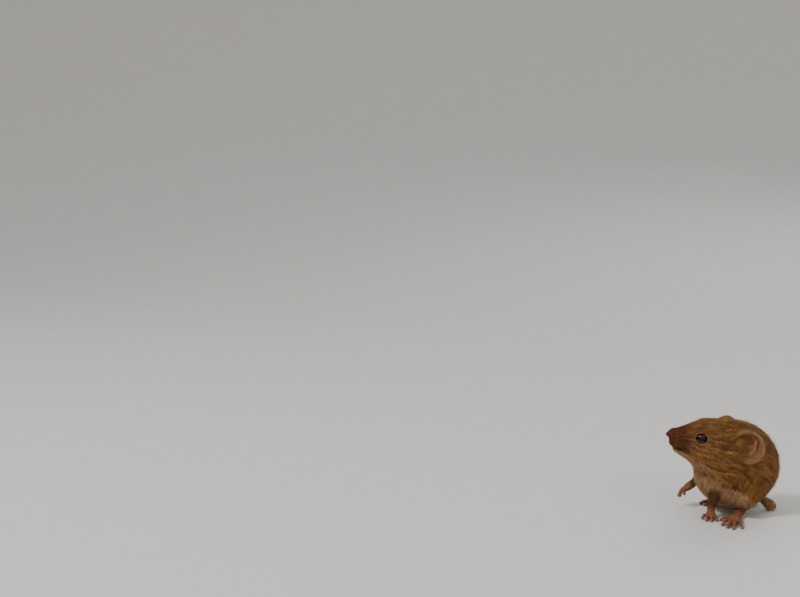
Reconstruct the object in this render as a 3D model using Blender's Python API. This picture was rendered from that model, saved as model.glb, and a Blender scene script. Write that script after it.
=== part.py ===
"""A harvest mouse at life size, sitting up on its haunches, as a still museum model.

The body is one smooth shape, described by distance fields: each mass is a ball or a tapered rod, and
masses melt into each other over a named width. That shape is turned into meshes and parted by thin
curved cuts into head, neck, torso and legs. Ears, eyes, feet and tail are made by themselves and meet
the body with the same thin gap.

Sizes are in millimetres. The floor is z = 0, the mouse faces -X, and its left side faces -Y.
"""
import itertools
import math

import bmesh
import bpy
import numpy as np
from mathutils import Matrix

MM = 0.001

# Sizes of the animal in life, with its coat
EYE_RADIUS = 1.5
EAR_HEIGHT = 7.4
EAR_WIDTH = 7.4
EAR_DEPTH = 2.7
EAR_SHEET = 0.6
HIND_FOOT_LENGTH = 14.3
TAIL_ROOT_RADIUS = 0.98
TAIL_TIP_RADIUS = 0.3
TAIL_END_SHARE = 0.5
TAIL_TAPER = 0.8
TAIL_SINK = 0.92
GAP = 0.3
SAME_PLACE = 0.0001
FLOOR_LEVEL = 0.03

# Where the head and the body stand, and how far each is turned towards the left side (degrees)
HEAD_ORIGIN = (-6.0, 0.0, 18.6)
HEAD_YAW = 18.0
BODY_ORIGIN = (6.5, 6.5, 0.0)
BODY_YAW = 30.0

LEFT = 1.0
RIGHT = -1.0
SIDES = {"left": LEFT, "right": RIGHT}

# How wide the fillet is where two masses melt into each other
BROAD = 2.5
SOFT = 1.0
TIGHT = 0.5
GROOVE_EDGE = 0.15
HEAD_FILLET = 1.6

# The head, from between the eyes: forward, left (mirrored for the right) and up
CRANIUM, CRANIUM_RADII = (-5.6, 0.0, -1.3), (8.0, 6.0, 5.5)
MUZZLE_TIP, MUZZLE_ROOT, MUZZLE_RADII = (5.4, 0.0, 0.5), (-0.6, 0.0, -0.35), (1.62, 4.15)
JAW_TIP, JAW_ROOT, JAW_RADII = (4.9, 0.0, -3.0), (0.0, 0.0, -4.1), (0.9, 2.9)
LIP, LIP_RADII = (5.5, 0.0, -1.2), (1.2, 1.1, 1.3)
NOSE, NOSE_RADII = (6.75, 0.0, 0.6), (0.8, 0.85, 0.72)
CHEEK, CHEEK_RADII = (-2.9, 3.0, -3.9), (4.0, 2.8, 3.2)
WHISKER_PAD, WHISKER_PAD_RADII = (4.5, 1.15, -1.3), (1.8, 1.2, 1.45)
EYE = (0.1, 3.45, 0.25)
EYE_FACING = (0.28, 0.94, 0.18)
LID_RING, LID_RISE, LID_RADIUS, LID_FLATNESS = 1.72, 0.72, 0.45, 1.14
NOSTRIL_MOUTH, NOSTRIL_END, NOSTRIL_RADII = (7.65, 0.42, 0.55), (7.0, 0.95, 0.6), (0.2, 0.16)
MOUTH_LINE = ((6.5, 0.0, -2.15), (5.3, 1.2, -2.5), (3.0, 2.6, -3.3))
MOUTH_RADII = (0.24, 0.24, 0.2)

# The trunk, from the floor under the hips; the neck is placed in the room
RUMP, RUMP_RADII = (1.2, 0.0, 11.1), (7.2, 7.1, 8.2)
BACK, BACK_RADII = (3.7, 0.0, 13.6), (7.9, 6.9, 8.2)
CHEST, CHEST_RADII = (9.2, 0.0, 10.2), (5.4, 5.2, 6.6)
BELLY, BELLY_RADII = (4.6, 0.0, 6.0), (6.8, 6.0, 4.9)
NECK, NECK_RADII = (0.4, 1.6, 14.6), (6.6, 6.2, 6.2)
HIP, KNEE, THIGH_RADII = (1.3, 3.9, 9.2), (5.0, 5.0, 5.4), (3.6, 2.9)
SHIN_TOP, SHIN_RADII = (4.4, 5.0, 4.2), (2.0, 1.15)
ANKLE_HEIGHT = 1.75

# The hind foot, from the heel on the floor
SOLE_LENGTH, SOLE_HEIGHTS, SOLE_RADII = 8.0, (1.0, 0.85), (1.1, 0.95)
FOOT_BALL, FOOT_BALL_RADII = (7.8, 0.0, 0.8), (1.9, 1.75, 0.85)
PALM_RADII = (1.3, 1.15, 0.8)
WRIST_RADIUS = 0.8
KNUCKLE_SHARE = 0.55
KNUCKLE_RISE = 0.42

BROWN = (0.33, 0.19, 0.09)
BUFF = (0.62, 0.47, 0.31)
PINK = (0.55, 0.30, 0.24)
TAIL_BROWN = (0.36, 0.25, 0.17)
BLACK = (0.01, 0.008, 0.008)


def turned_axes(yaw):
    """Rows: forward, left and up of something that faces -X before it is turned by yaw."""
    angle = math.radians(yaw)
    forward = (-math.cos(angle), -math.sin(angle), 0.0)
    left = (math.sin(angle), -math.cos(angle), 0.0)
    return np.array((forward, left, (0.0, 0.0, 1.0)))


HEAD_AXES = turned_axes(HEAD_YAW)
BODY_AXES = turned_axes(BODY_YAW)


def on_head(forward, left, up):
    """A place given from between the eyes, in the room's axes."""
    return np.array(HEAD_ORIGIN) + np.array((forward, left, up)) @ HEAD_AXES


def on_body(forward, left, up):
    """A place given from the floor under the hips, in the room's axes."""
    return np.array(BODY_ORIGIN) + np.array((forward, left, up)) @ BODY_AXES


def ball(points, centre, radii, axes=None):
    """Distance to an ellipsoid, exact on its surface."""
    local = points - np.asarray(centre)
    if axes is not None:
        local = local @ axes.T
    scaled = local / radii
    near = np.linalg.norm(scaled, axis=1)
    slope = np.linalg.norm(scaled / radii, axis=1)
    return near * (near - 1.0) / np.maximum(slope, 1e-9)


def rod(points, start, end, start_radius, end_radius):
    """Distance to a straight rod whose round section grows or shrinks from start to end."""
    start = np.asarray(start, float)
    run = np.asarray(end, float) - start
    along = np.clip((points - start) @ run / (run @ run), 0.0, 1.0)
    away = np.linalg.norm(points - start - along[:, None] * run, axis=1)
    return away - (start_radius + along * (end_radius - start_radius))


def chain(points, places, radii, width=0.0):
    """Rods from place to place, melted together over a width."""
    field = rod(points, places[0], places[1], radii[0], radii[1])
    for index in range(1, len(places) - 1):
        piece = rod(points, places[index], places[index + 1], radii[index], radii[index + 1])
        field = melt(field, piece, width)
    return field


def melt(first, second, width):
    """Union of two fields, with a fillet about as wide as width."""
    if width <= 0.0:
        return np.minimum(first, second)
    overlap = np.maximum(width - np.abs(first - second), 0.0) / width
    return np.minimum(first, second) - overlap * overlap * width / 4.0


def carve(field, cutter, width=0.0):
    """The first field without the second, with a rounded edge."""
    return -melt(-field, cutter, width)


def mirrored(place, side):
    """A place of the left side, or its mirror image for the right."""
    return np.array((place[0], place[1] * side, place[2]))


def head_field(points):
    """Skull, muzzle, jaw, cheeks, nose and lids, with sockets, nostrils and the line of the mouth."""
    local = (points - np.array(HEAD_ORIGIN)) @ HEAD_AXES.T
    field = ball(local, CRANIUM, CRANIUM_RADII)
    field = melt(field, rod(local, MUZZLE_TIP, MUZZLE_ROOT, *MUZZLE_RADII), BROAD)
    field = melt(field, rod(local, JAW_TIP, JAW_ROOT, *JAW_RADII), SOFT)
    field = melt(field, ball(local, LIP, LIP_RADII), TIGHT)
    field = melt(field, ball(local, NOSE, NOSE_RADII), TIGHT)
    for side in SIDES.values():
        field = melt(field, ball(local, mirrored(CHEEK, side), CHEEK_RADII), BROAD)
        field = melt(field, ball(local, mirrored(WHISKER_PAD, side), WHISKER_PAD_RADII), SOFT)
        field = melt(field, lid_field(local, side), SOFT)
    for side in SIDES.values():
        field = carve(field, ball(local, mirrored(EYE, side), (EYE_RADIUS + GAP,) * 3))
        nostril = rod(local, mirrored(NOSTRIL_MOUTH, side), mirrored(NOSTRIL_END, side), *NOSTRIL_RADII)
        field = carve(field, nostril, GROOVE_EDGE)
        line = [mirrored(place, side) for place in MOUTH_LINE]
        field = carve(field, chain(local, line, MOUTH_RADII), GROOVE_EDGE)
    return field


def lid_field(local, side):
    """A ring of lid round the front of the eyeball, a little lower than it is long."""
    outward = mirrored(EYE_FACING, side)
    outward /= np.linalg.norm(outward)
    from_eye = local - mirrored(EYE, side)
    depth = from_eye @ outward
    flat = from_eye - depth[:, None] * outward
    flat[:, 2] *= LID_FLATNESS
    round_eye = np.linalg.norm(flat, axis=1)
    return np.hypot(round_eye - LID_RING, depth - LID_RISE) - LID_RADIUS


def trunk_field(points):
    """Torso and neck as balls strung along the bent back."""
    local = (points - np.array(BODY_ORIGIN)) @ BODY_AXES.T
    field = ball(local, RUMP, RUMP_RADII)
    for place, radii in ((BACK, BACK_RADII), (CHEST, CHEST_RADII), (BELLY, BELLY_RADII)):
        field = melt(field, ball(local, place, radii), BROAD)
    return melt(field, ball(points, NECK, NECK_RADII), BROAD)


def haunch_field(points, side):
    """Thigh, knee and shin of a hind leg folded under the body."""
    local = (points - np.array(BODY_ORIGIN)) @ BODY_AXES.T
    field = rod(local, mirrored(HIP, side), mirrored(KNEE, side), *THIGH_RADII)
    ankle = (*HEELS[side], ANKLE_HEIGHT)
    shin = rod(points, on_body(*mirrored(SHIN_TOP, side)), ankle, *SHIN_RADII)
    return melt(field, shin, SOFT)


# Where each heel stands, and the way each hind foot points (degrees, 0 is -X, 90 is -Y)
HEELS = {LEFT: (4.2, 2.5), RIGHT: (7.4, 12.7)}
FOOT_TURNS = {LEFT: 79.0, RIGHT: 24.0}

# Shoulder, elbow side of the forearm, and wrist
FORELEGS = {
    LEFT: ((-0.6, 0.8, 10.0), (-1.5, -1.3, 7.2), (-2.5, -2.3, 2.2)),
    RIGHT: ((-3.4, 4.2, 9.8), (-5.2, 4.6, 7.6), (-7.4, 4.9, 5.6)),
}
FORELEG_RADII = (2.4, 1.25, 0.78)


def foreleg_field(points, side):
    """Upper arm and forearm down to the wrist."""
    return chain(points, FORELEGS[side], FORELEG_RADII, SOFT)


def body_field(points):
    """The whole body without ears, eyes, feet and tail."""
    field = trunk_field(points)
    for side in SIDES.values():
        field = melt(field, haunch_field(points, side), SOFT)
        field = melt(field, foreleg_field(points, side), SOFT)
    field = melt(field, head_field(points), HEAD_FILLET)
    for side in SIDES.values():
        field = carve(field, ear_socket(points, side), GAP)
    return field


# Toes of a hind foot: forward from the heel, outward from its middle line, and thickness
HIND_TOES = ((8.6, -3.0, 0.38), (12.2, -1.9, 0.42), (13.6, -0.5, 0.44), (14.0, 0.9, 0.44), (12.6, 2.5, 0.4))
# Fingers of a forepaw: forward from the palm, outward from its middle line, and thickness
FINGERS = ((2.1, -1.7, 0.34), (3.4, -0.7, 0.36), (3.6, 0.5, 0.36), (2.6, 1.6, 0.34))
CLAW_LENGTH, FINGER_CLAW_LENGTH = 0.9, 0.54
CLAW_RADIUS = 0.2
CLAW_TIP_RADIUS = 0.07
SHORTEST_TOE = 2.0
# Shares of a digit's thickness: at its root, at its end, its pad, and the fillets along it and at its root
DIGIT_ROOT, DIGIT_END, DIGIT_PAD = 1.15, 0.85, 1.05
DIGIT_FILLET, DIGIT_ROOT_FILLET = 0.4, 0.8
# Heights on the floor: a toe's root as a share of the foot's ball, a claw tip as a share of its radius
TOE_ROOT_RISE, CLAW_TIP_RISE = 0.9, 1.5


def digit_field(points, root, tip, thickness, claw_tip):
    """A toe that bends at its knuckle and ends in a claw."""
    knuckle = root + (tip - root) * KNUCKLE_SHARE + np.array((0.0, 0.0, KNUCKLE_RISE))
    fillet = thickness * DIGIT_FILLET
    radii = (thickness * DIGIT_ROOT, thickness, thickness * DIGIT_END)
    toe = chain(points, (root, knuckle, tip), radii, fillet)
    toe = melt(toe, ball(points, tip, (thickness * DIGIT_PAD,) * 3), fillet)
    claw = rod(points, tip, claw_tip, CLAW_RADIUS, CLAW_TIP_RADIUS)
    return melt(toe, claw, CLAW_RADIUS / 2.0)


def hind_foot_field(points, side):
    """Sole, five toes and claws, standing on the floor."""
    local = (points - np.array((*HEELS[side], 0.0))) @ turned_axes(FOOT_TURNS[side]).T
    local[:, 1] *= side
    heel = (0.0, 0.0, SOLE_HEIGHTS[0])
    field = rod(local, heel, (SOLE_LENGTH, 0.0, SOLE_HEIGHTS[1]), *SOLE_RADII)
    field = melt(field, ball(local, FOOT_BALL, FOOT_BALL_RADII), SOFT)
    for forward, outward, thickness in HIND_TOES:
        start = min(SOLE_LENGTH, forward - SHORTEST_TOE)
        root = np.array((start, outward / 2.0, FOOT_BALL_RADII[2] * TOE_ROOT_RISE))
        tip = np.array((forward - CLAW_LENGTH, outward, thickness * DIGIT_END))
        claw_tip = np.array((forward, outward, CLAW_TIP_RADIUS * CLAW_TIP_RISE))
        toe = digit_field(local, root, tip, thickness, claw_tip)
        field = melt(field, toe, thickness * DIGIT_ROOT_FILLET)
    return np.maximum(field, -points[:, 2])


# Palm centre, the way the paw points and how far its fingers dip, of each forepaw
PAWS = {
    LEFT: ((-2.5, -3.0, 0.85), 84.0, 0.0),
    RIGHT: ((-8.0, 4.9, 5.1), 6.0, -38.0),
}
FINGER_ROOT, FINGER_DROP = (0.7, 0.5, -0.1), 0.5


def forepaw_field(points, side):
    """Palm, four fingers and claws, standing on the floor or held up."""
    centre, turn, dip = PAWS[side]
    axes = np.array(Matrix.Rotation(math.radians(dip), 3, "Y")) @ turned_axes(turn)
    axes[1] *= side
    local = (points - np.array(centre)) @ axes.T
    field = ball(local, (0.0, 0.0, 0.0), PALM_RADII)
    wrist = axes @ (np.array(FORELEGS[side][2]) - np.array(centre))
    field = melt(field, rod(local, wrist, (0.0, 0.0, 0.0), WRIST_RADIUS, WRIST_RADIUS), TIGHT)
    for forward, outward, thickness in FINGERS:
        root = np.array((FINGER_ROOT[0], outward * FINGER_ROOT[1], FINGER_ROOT[2]))
        tip = np.array((forward - FINGER_CLAW_LENGTH, outward, -FINGER_DROP))
        claw_tip = np.array((forward, outward, -FINGER_DROP - CLAW_RADIUS))
        finger = digit_field(local, root, tip, thickness, claw_tip)
        field = melt(field, finger, thickness * DIGIT_ROOT_FILLET)
    return np.maximum(field, -points[:, 2])


# Centre of each ear's opening on the head; the right ear is pricked a little further forward
EARS = {LEFT: (-9.7, 6.5, -1.2), RIGHT: (-8.2, -6.1, -0.1)}
EAR_FACING = (0.42, 0.9, 0.08)
EAR_RADII = (EAR_DEPTH, EAR_WIDTH / 2.0, EAR_HEIGHT / 2.0)
# How far past the ear's opening the head keeps clear of it, and how far the rim stands out
EAR_CLEARANCE = 1.8
EAR_RIM = 0.2


def ear_frame(side):
    """Centre of the ear's opening and its axes: facing, along and up the ear."""
    centre = on_head(*EARS[side])
    facing = mirrored(EAR_FACING, side) @ HEAD_AXES
    facing /= np.linalg.norm(facing)
    up = np.array((0.0, 0.0, 1.0))
    up = up - facing * (up @ facing)
    up /= np.linalg.norm(up)
    along = np.cross(up, facing)
    return centre, np.array((facing, along, up))


def ear_bowl(points, side):
    """The egg whose inner half is the ear's cup."""
    centre, axes = ear_frame(side)
    return ball(points, centre, EAR_RADII, axes)


def ear_socket(points, side):
    """What the head leaves free for the ear: the cup's egg up to just past its opening."""
    centre, axes = ear_frame(side)
    past_opening = (points - centre) @ axes[0] - EAR_CLEARANCE
    return np.maximum(ear_bowl(points, side) - GAP, past_opening)


def ear_field(points, side):
    """A thin cup, open to the side and the front, whose back lies in a socket of the head."""
    centre, axes = ear_frame(side)
    sheet = np.abs(ear_bowl(points, side) + EAR_SHEET / 2.0) - EAR_SHEET / 2.0
    opening = EAR_RIM - (points - centre) @ axes[0]
    return carve(sheet, opening, EAR_SHEET / 2.0)


# Places along the tail: out of the rump, down to the floor and round behind the body
TAIL_ROUTE = (
    (6.6, 10.2, 5.6), (8.4, 9.2, 3.5), (9.9, 7.9, 1.7), (11.3, 8.0, 0.0), (11.6, 10.6, 0.0),
    (10.6, 14.0, 0.0), (6.8, 17.2, 0.0), (2.0, 19.0, 0.0), (-1.4, 21.8, 0.0), (-0.6, 25.4, 0.0),
    (3.2, 27.6, 0.0), (7.8, 27.4, 0.0),
)
ROUTE_STEPS = 24
TAIL_STEPS = 60
TAIL_SIDES = 10
# The steps at which the tail's lengths end
TAIL_JOINTS = (12, 28, 44, TAIL_STEPS)


def smooth_route(places, count):
    """Evenly spaced places on a smooth curve through the given ones."""
    places = np.array(places)
    padded = np.vstack((2.0 * places[0] - places[1], places, 2.0 * places[-1] - places[-2]))
    fine = []
    for index in range(len(places) - 1):
        before, start, end, after = padded[index:index + 4]
        for step in np.linspace(0.0, 1.0, ROUTE_STEPS, endpoint=False):
            bend = 2.0 * before - 5.0 * start + 4.0 * end - after
            twist = 3.0 * (start - end) + after - before
            fine.append(start + 0.5 * step * (end - before + step * (bend + step * twist)))
    fine.append(places[-1])
    fine = np.array(fine)
    steps = np.linalg.norm(np.diff(fine, axis=0), axis=1)
    travelled = np.concatenate(((0.0,), np.cumsum(steps)))
    wanted = np.linspace(0.0, travelled[-1], count)
    return np.column_stack([np.interp(wanted, travelled, fine[:, axis]) for axis in range(3)])


def is_even(order):
    """Whether an order of numbers is reached by an even number of swaps."""
    swaps = sum(order[i] > order[j] for i in range(len(order)) for j in range(i + 1, len(order)))
    return swaps % 2 == 0


def tetrahedron_faces(inside):
    """Face across a tetrahedron whose given corners are inside, as the edges it runs over."""
    order = list(inside) + [corner for corner in range(4) if corner not in inside]
    if not is_even(order):
        if len(inside) > 1:
            order[0], order[1] = order[1], order[0]
        else:
            order[2], order[3] = order[3], order[2]
    a, b, c, d = order
    return {
        1: ((a, b), (a, c), (a, d)),
        2: ((a, c), (a, d), (b, d), (b, c)),
        3: ((a, d), (b, d), (c, d)),
    }[len(inside)]


# A vertex starts at least this share of an edge away from the edge's ends
CORNER_MARGIN = 0.1


def polygonise(field, low, high, cell):
    """Closed mesh of a field's surface, found in six tetrahedra to each cell of a grid."""
    axes = [np.arange(low[axis], high[axis] + cell, cell) for axis in range(3)]
    shape = tuple(len(axis) for axis in axes)
    grid = np.stack(np.meshgrid(*axes, indexing="ij"), axis=-1).reshape(-1, 3)
    values = field(grid)
    inside = values < 0.0
    solid = inside.reshape(shape)
    corners = [solid[i:shape[0] - 1 + i, j:shape[1] - 1 + j, k:shape[2] - 1 + k]
               for i in (0, 1) for j in (0, 1) for k in (0, 1)]
    mixed = np.any(corners, axis=0) & ~np.all(corners, axis=0)
    strides = np.array((shape[1] * shape[2], shape[2], 1))
    base = np.argwhere(mixed) @ strides
    faces = []
    for order in itertools.permutations(range(3)):
        offsets = np.concatenate(((0,), np.cumsum(strides[list(order)])))
        if not is_even(order):
            offsets = offsets[[0, 1, 3, 2]]
        corners = base[:, None] + offsets
        pattern = inside[corners] @ (1, 2, 4, 8)
        for code in range(1, 15):
            edges = tetrahedron_faces([corner for corner in range(4) if code >> corner & 1])
            found = corners[pattern == code]
            faces.append(np.stack([found[:, edge] for edge in edges], axis=1))
    sizes = [face.shape[:2] for face in faces]
    ends = np.sort(np.concatenate([face.reshape(-1, 2) for face in faces]), axis=1)
    keys, numbers = np.unique(ends[:, 0] * len(grid) + ends[:, 1], return_inverse=True)
    first, second = keys // len(grid), keys % len(grid)
    share = values[first] / (values[first] - values[second])
    share = np.clip(share, CORNER_MARGIN, 1.0 - CORNER_MARGIN)
    vertices = grid[first] + share[:, None] * (grid[second] - grid[first])
    polygons = []
    used = 0
    for count, corners_each in sizes:
        polygons.extend(numbers[used:used + count * corners_each].reshape(count, corners_each).tolist())
        used += count * corners_each
    return settle(field, vertices), polygons


def settle(field, vertices, rounds=3, probe=0.01, longest=0.15):
    """Moves vertices along the field's slope until they lie on its surface."""
    for _ in range(rounds):
        value = field(vertices)
        slope = np.empty_like(vertices)
        for axis in range(3):
            shift = np.zeros(3)
            shift[axis] = probe
            slope[:, axis] = (field(vertices + shift) - field(vertices - shift)) / (2.0 * probe)
        size = np.maximum((slope * slope).sum(axis=1), 0.05)
        move = -slope * (value / size)[:, None]
        length = np.linalg.norm(move, axis=1)
        move *= np.minimum(1.0, longest / np.maximum(length, 1e-9))[:, None]
        vertices = vertices + move
    return vertices


def new_object(name, vertices, faces):
    """A mesh object in millimetres, linked to the scene."""
    mesh = bpy.data.meshes.new(name)
    mesh.from_pydata([tuple(vertex) for vertex in vertices], [], faces)
    mesh.update()
    piece = bpy.data.objects.new(name, mesh)
    bpy.context.scene.collection.objects.link(piece)
    return piece


def apply_modifiers(piece):
    """Replaces the object's mesh by what its modifiers make of it."""
    depsgraph = bpy.context.evaluated_depsgraph_get()
    mesh = bpy.data.meshes.new_from_object(piece.evaluated_get(depsgraph))
    piece.modifiers.clear()
    old = piece.data
    piece.data = mesh
    bpy.data.meshes.remove(old)


def thin_out(piece, triangles):
    """Splits the faces into triangles and merges them down to about the given number."""
    bm = bmesh.new()
    bm.from_mesh(piece.data)
    bmesh.ops.triangulate(bm, faces=bm.faces)
    count = len(bm.faces)
    bm.to_mesh(piece.data)
    bm.free()
    if count > triangles:
        reduce = piece.modifiers.new("reduce", "DECIMATE")
        reduce.ratio = triangles / count
        apply_modifiers(piece)


def keep_largest(piece):
    """Removes everything but the largest closed surface."""
    bm = bmesh.new()
    bm.from_mesh(piece.data)
    unseen = set(bm.verts)
    groups = []
    while unseen:
        group = set()
        waiting = [next(iter(unseen))]
        while waiting:
            vertex = waiting.pop()
            if vertex in group:
                continue
            group.add(vertex)
            waiting.extend(edge.other_vert(vertex) for edge in vertex.link_edges)
        unseen -= group
        groups.append(group)
    largest = max(groups, key=len)
    loose = [vertex for vertex in bm.verts if vertex not in largest]
    bmesh.ops.delete(bm, geom=loose, context="VERTS")
    bmesh.ops.remove_doubles(bm, verts=bm.verts, dist=SAME_PLACE)
    bm.to_mesh(piece.data)
    bm.free()


GUIDE_SEGMENTS, GUIDE_RINGS = 28, 14
EYE_SEGMENTS, EYE_RINGS = 18, 10
SHARP_EDGE = 50.0


def new_cutter(name, centre, radii, axes):
    """An egg-shaped guide that parts the body, hidden from renders."""
    bpy.ops.mesh.primitive_uv_sphere_add(segments=GUIDE_SEGMENTS, ring_count=GUIDE_RINGS, radius=1.0)
    guide = bpy.context.object
    guide.name = name
    turn = Matrix(axes.T).to_4x4()
    guide.data.transform(Matrix.Translation(centre) @ turn @ Matrix.Diagonal((*radii, 1.0)))
    guide.hide_render = True
    guide.display_type = "WIRE"
    return guide


def cut(piece, guide, operation):
    """Keeps what lies inside (INTERSECT) or outside (DIFFERENCE) the guide."""
    step = piece.modifiers.new(guide.name, "BOOLEAN")
    step.operation = operation
    step.solver = "EXACT"
    step.object = guide
    apply_modifiers(piece)


def material(name, colour, roughness):
    surface = bpy.data.materials.new(name)
    surface.use_nodes = True
    shader = surface.node_tree.nodes["Principled BSDF"]
    shader.inputs["Base Color"].default_value = (*colour, 1.0)
    shader.inputs["Roughness"].default_value = roughness
    return surface


def finish(piece, colour, roughness=0.8):
    """Scales a piece to metres, gives it its material and smooth shading."""
    piece.data.transform(Matrix.Scale(MM, 4))
    piece.data.materials.clear()
    piece.data.materials.append(material(piece.name, colour, roughness))
    piece.data.shade_smooth()
    piece.data.set_sharp_from_angle(angle=math.radians(SHARP_EDGE))
    return piece


# Egg-shaped regions that part the body: centre, radii and axes
HEAD_REGION = (on_head(-2.0, 0.0, -0.6), (11.8, 8.4, 6.1), HEAD_AXES)
NECK_REGION = (on_head(-3.6, 0.0, -1.8), (13.4, 9.8, 8.4), HEAD_AXES)
HAUNCH_REGIONS = {
    LEFT: (on_body(1.8, 6.3, 5.9), (6.4, 5.6, 6.7), BODY_AXES),
    RIGHT: (on_body(0.8, -6.3, 5.8), (7.2, 5.6, 7.0), BODY_AXES),
}
FORELEG_REGIONS = {
    LEFT: ((-1.9, -2.5, 4.9), (2.5, 2.7, 5.2), np.eye(3)),
    RIGHT: ((-6.6, 5.4, 7.2), (3.4, 3.2, 3.4), np.eye(3)),
}
LEG_REGIONS = [*HAUNCH_REGIONS.values(), *FORELEG_REGIONS.values()]
TORSO_BOX = ((-10.0, -6.0, -1.0), (15.5, 17.5, 25.0))
# How far a part's own mesh reaches past the surface that the cut gives it
CUT_MARGIN = 0.6
# Cell of the grid in which each kind of part is found, and the number of triangles it is thinned to
DETAIL = {
    "head": (0.18, 3600), "neck": (0.32, 800), "torso": (0.5, 2000), "hindleg": (0.4, 600),
    "foreleg": (0.3, 420), "hindfoot": (0.2, 760), "forepaw": (0.18, 600), "ear": (0.2, 560),
    "tail": (0.22, 360),
}
# How far those grids reach below and above the foot, the palm and the ear's middle
FOOT_BELOW, FOOT_ABOVE = (4.0, 4.0, 0.5), (4.0, 4.0, 3.0)
PAW_BELOW, PAW_ABOVE = (5.2, 5.2, 3.6), (3.0, 3.0, 2.5)
EAR_REACH = 6.0


def detail_of(name):
    """Cell and number of triangles of a part, by the first word of its name."""
    return DETAIL[name.split("_")[0]]


def grown(region, amount):
    """The same region with every radius larger by amount."""
    centre, radii, axes = region
    return centre, tuple(radius + amount for radius in radii), axes


def region_field(points, region):
    """Distance to a region's surface."""
    centre, radii, axes = region
    return ball(points, centre, radii, axes)


def box_round(region, margin=1.0):
    """Corners of an upright box round a region."""
    centre, radii, axes = region
    reach = np.sqrt(((np.array(radii)[:, None] * axes) ** 2).sum(axis=0)) + margin
    return np.array(centre) - reach, np.array(centre) + reach


def body_piece(name, inside, outside, colour, box=None):
    """A part of the body: what lies inside one region and outside the others, with the thin gap."""

    def field(points):
        part = body_field(points)
        if inside is not None:
            part = np.maximum(part, region_field(points, grown(inside, CUT_MARGIN)))
        for region in outside:
            part = np.maximum(part, -region_field(points, grown(region, GAP - CUT_MARGIN)))
        return part

    cell, triangles = detail_of(name)
    low, high = box if box is not None else box_round(grown(inside, CUT_MARGIN))
    piece = new_object(name, *polygonise(field, low, high, cell))
    thin_out(piece, triangles)
    guides = []
    if inside is not None:
        guides.append((new_cutter(name + "_inside", *inside), "INTERSECT"))
    for number, region in enumerate(outside):
        guides.append((new_cutter(f"{name}_outside_{number}", *grown(region, GAP)), "DIFFERENCE"))
    for guide, operation in guides:
        cut(piece, guide, operation)
        bpy.data.objects.remove(guide)
    keep_largest(piece)
    return finish(piece, colour)


def field_piece(name, field, low, high, colour):
    """A part with a field of its own."""
    cell, triangles = detail_of(name)
    piece = new_object(name, *polygonise(field, low, high, cell))
    flatten_sole(piece)
    thin_out(piece, triangles)
    flatten_sole(piece)
    keep_largest(piece)
    return finish(piece, colour)


def flatten_sole(piece):
    """Puts what stands on the floor exactly on it."""
    for vertex in piece.data.vertices:
        if vertex.co.z < FLOOR_LEVEL:
            vertex.co.z = 0.0


def make_trunk():
    """Head, neck, torso and the furred part of each leg."""
    body_piece("head", HEAD_REGION, [], BROWN)
    body_piece("neck", NECK_REGION, [HEAD_REGION] + LEG_REGIONS, BROWN)
    body_piece("torso", None, [NECK_REGION] + LEG_REGIONS, BROWN, TORSO_BOX)
    for word, side in SIDES.items():
        body_piece("hindleg_" + word, HAUNCH_REGIONS[side], [], BUFF)
        body_piece("foreleg_" + word, FORELEG_REGIONS[side], [], BUFF)


def clear_of_body(field, points):
    """A part's field where it keeps the thin gap from the body."""
    return np.maximum(field, GAP - body_field(points))


def make_feet():
    """Hind feet and forepaws."""
    for word, side in SIDES.items():
        heel = np.array((*HEELS[side], 0.0))
        toes = heel + turned_axes(FOOT_TURNS[side])[0] * HIND_FOOT_LENGTH
        low = np.minimum(heel, toes) - FOOT_BELOW
        high = np.maximum(heel, toes) + FOOT_ABOVE
        field_piece("hindfoot_" + word, lambda points: clear_of_body(hind_foot_field(points, side), points),
                    low, high, PINK)
        centre = np.array(PAWS[side][0])
        field_piece("forepaw_" + word, lambda points: clear_of_body(forepaw_field(points, side), points),
                    centre - PAW_BELOW, centre + PAW_ABOVE, PINK)


def make_head_parts():
    """Eyeballs in their sockets and the ears' cups."""
    for word, side in SIDES.items():
        bpy.ops.mesh.primitive_uv_sphere_add(segments=EYE_SEGMENTS, ring_count=EYE_RINGS, radius=EYE_RADIUS)
        eye = bpy.context.object
        eye.name = "eye_" + word
        eye.data.transform(Matrix.Translation(on_head(*mirrored(EYE, side))))
        finish(eye, BLACK, 0.05)
        centre = ear_frame(side)[0]
        field_piece("ear_" + word, lambda points: ear_field(points, side),
                    centre - EAR_REACH, centre + EAR_REACH, BUFF)


def tail_sizes():
    """Places along the middle of the tail and its radius at each."""
    places = smooth_route(TAIL_ROUTE, TAIL_STEPS + 1)
    shares = np.linspace(0.0, 1.0, TAIL_STEPS + 1)
    radii = TAIL_ROOT_RADIUS + (TAIL_TIP_RADIUS - TAIL_ROOT_RADIUS) * shares ** TAIL_TAPER
    radii[-1] = TAIL_END_SHARE * TAIL_TIP_RADIUS
    places[:, 2] = np.maximum(places[:, 2], TAIL_SINK * radii)
    return places, radii


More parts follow.
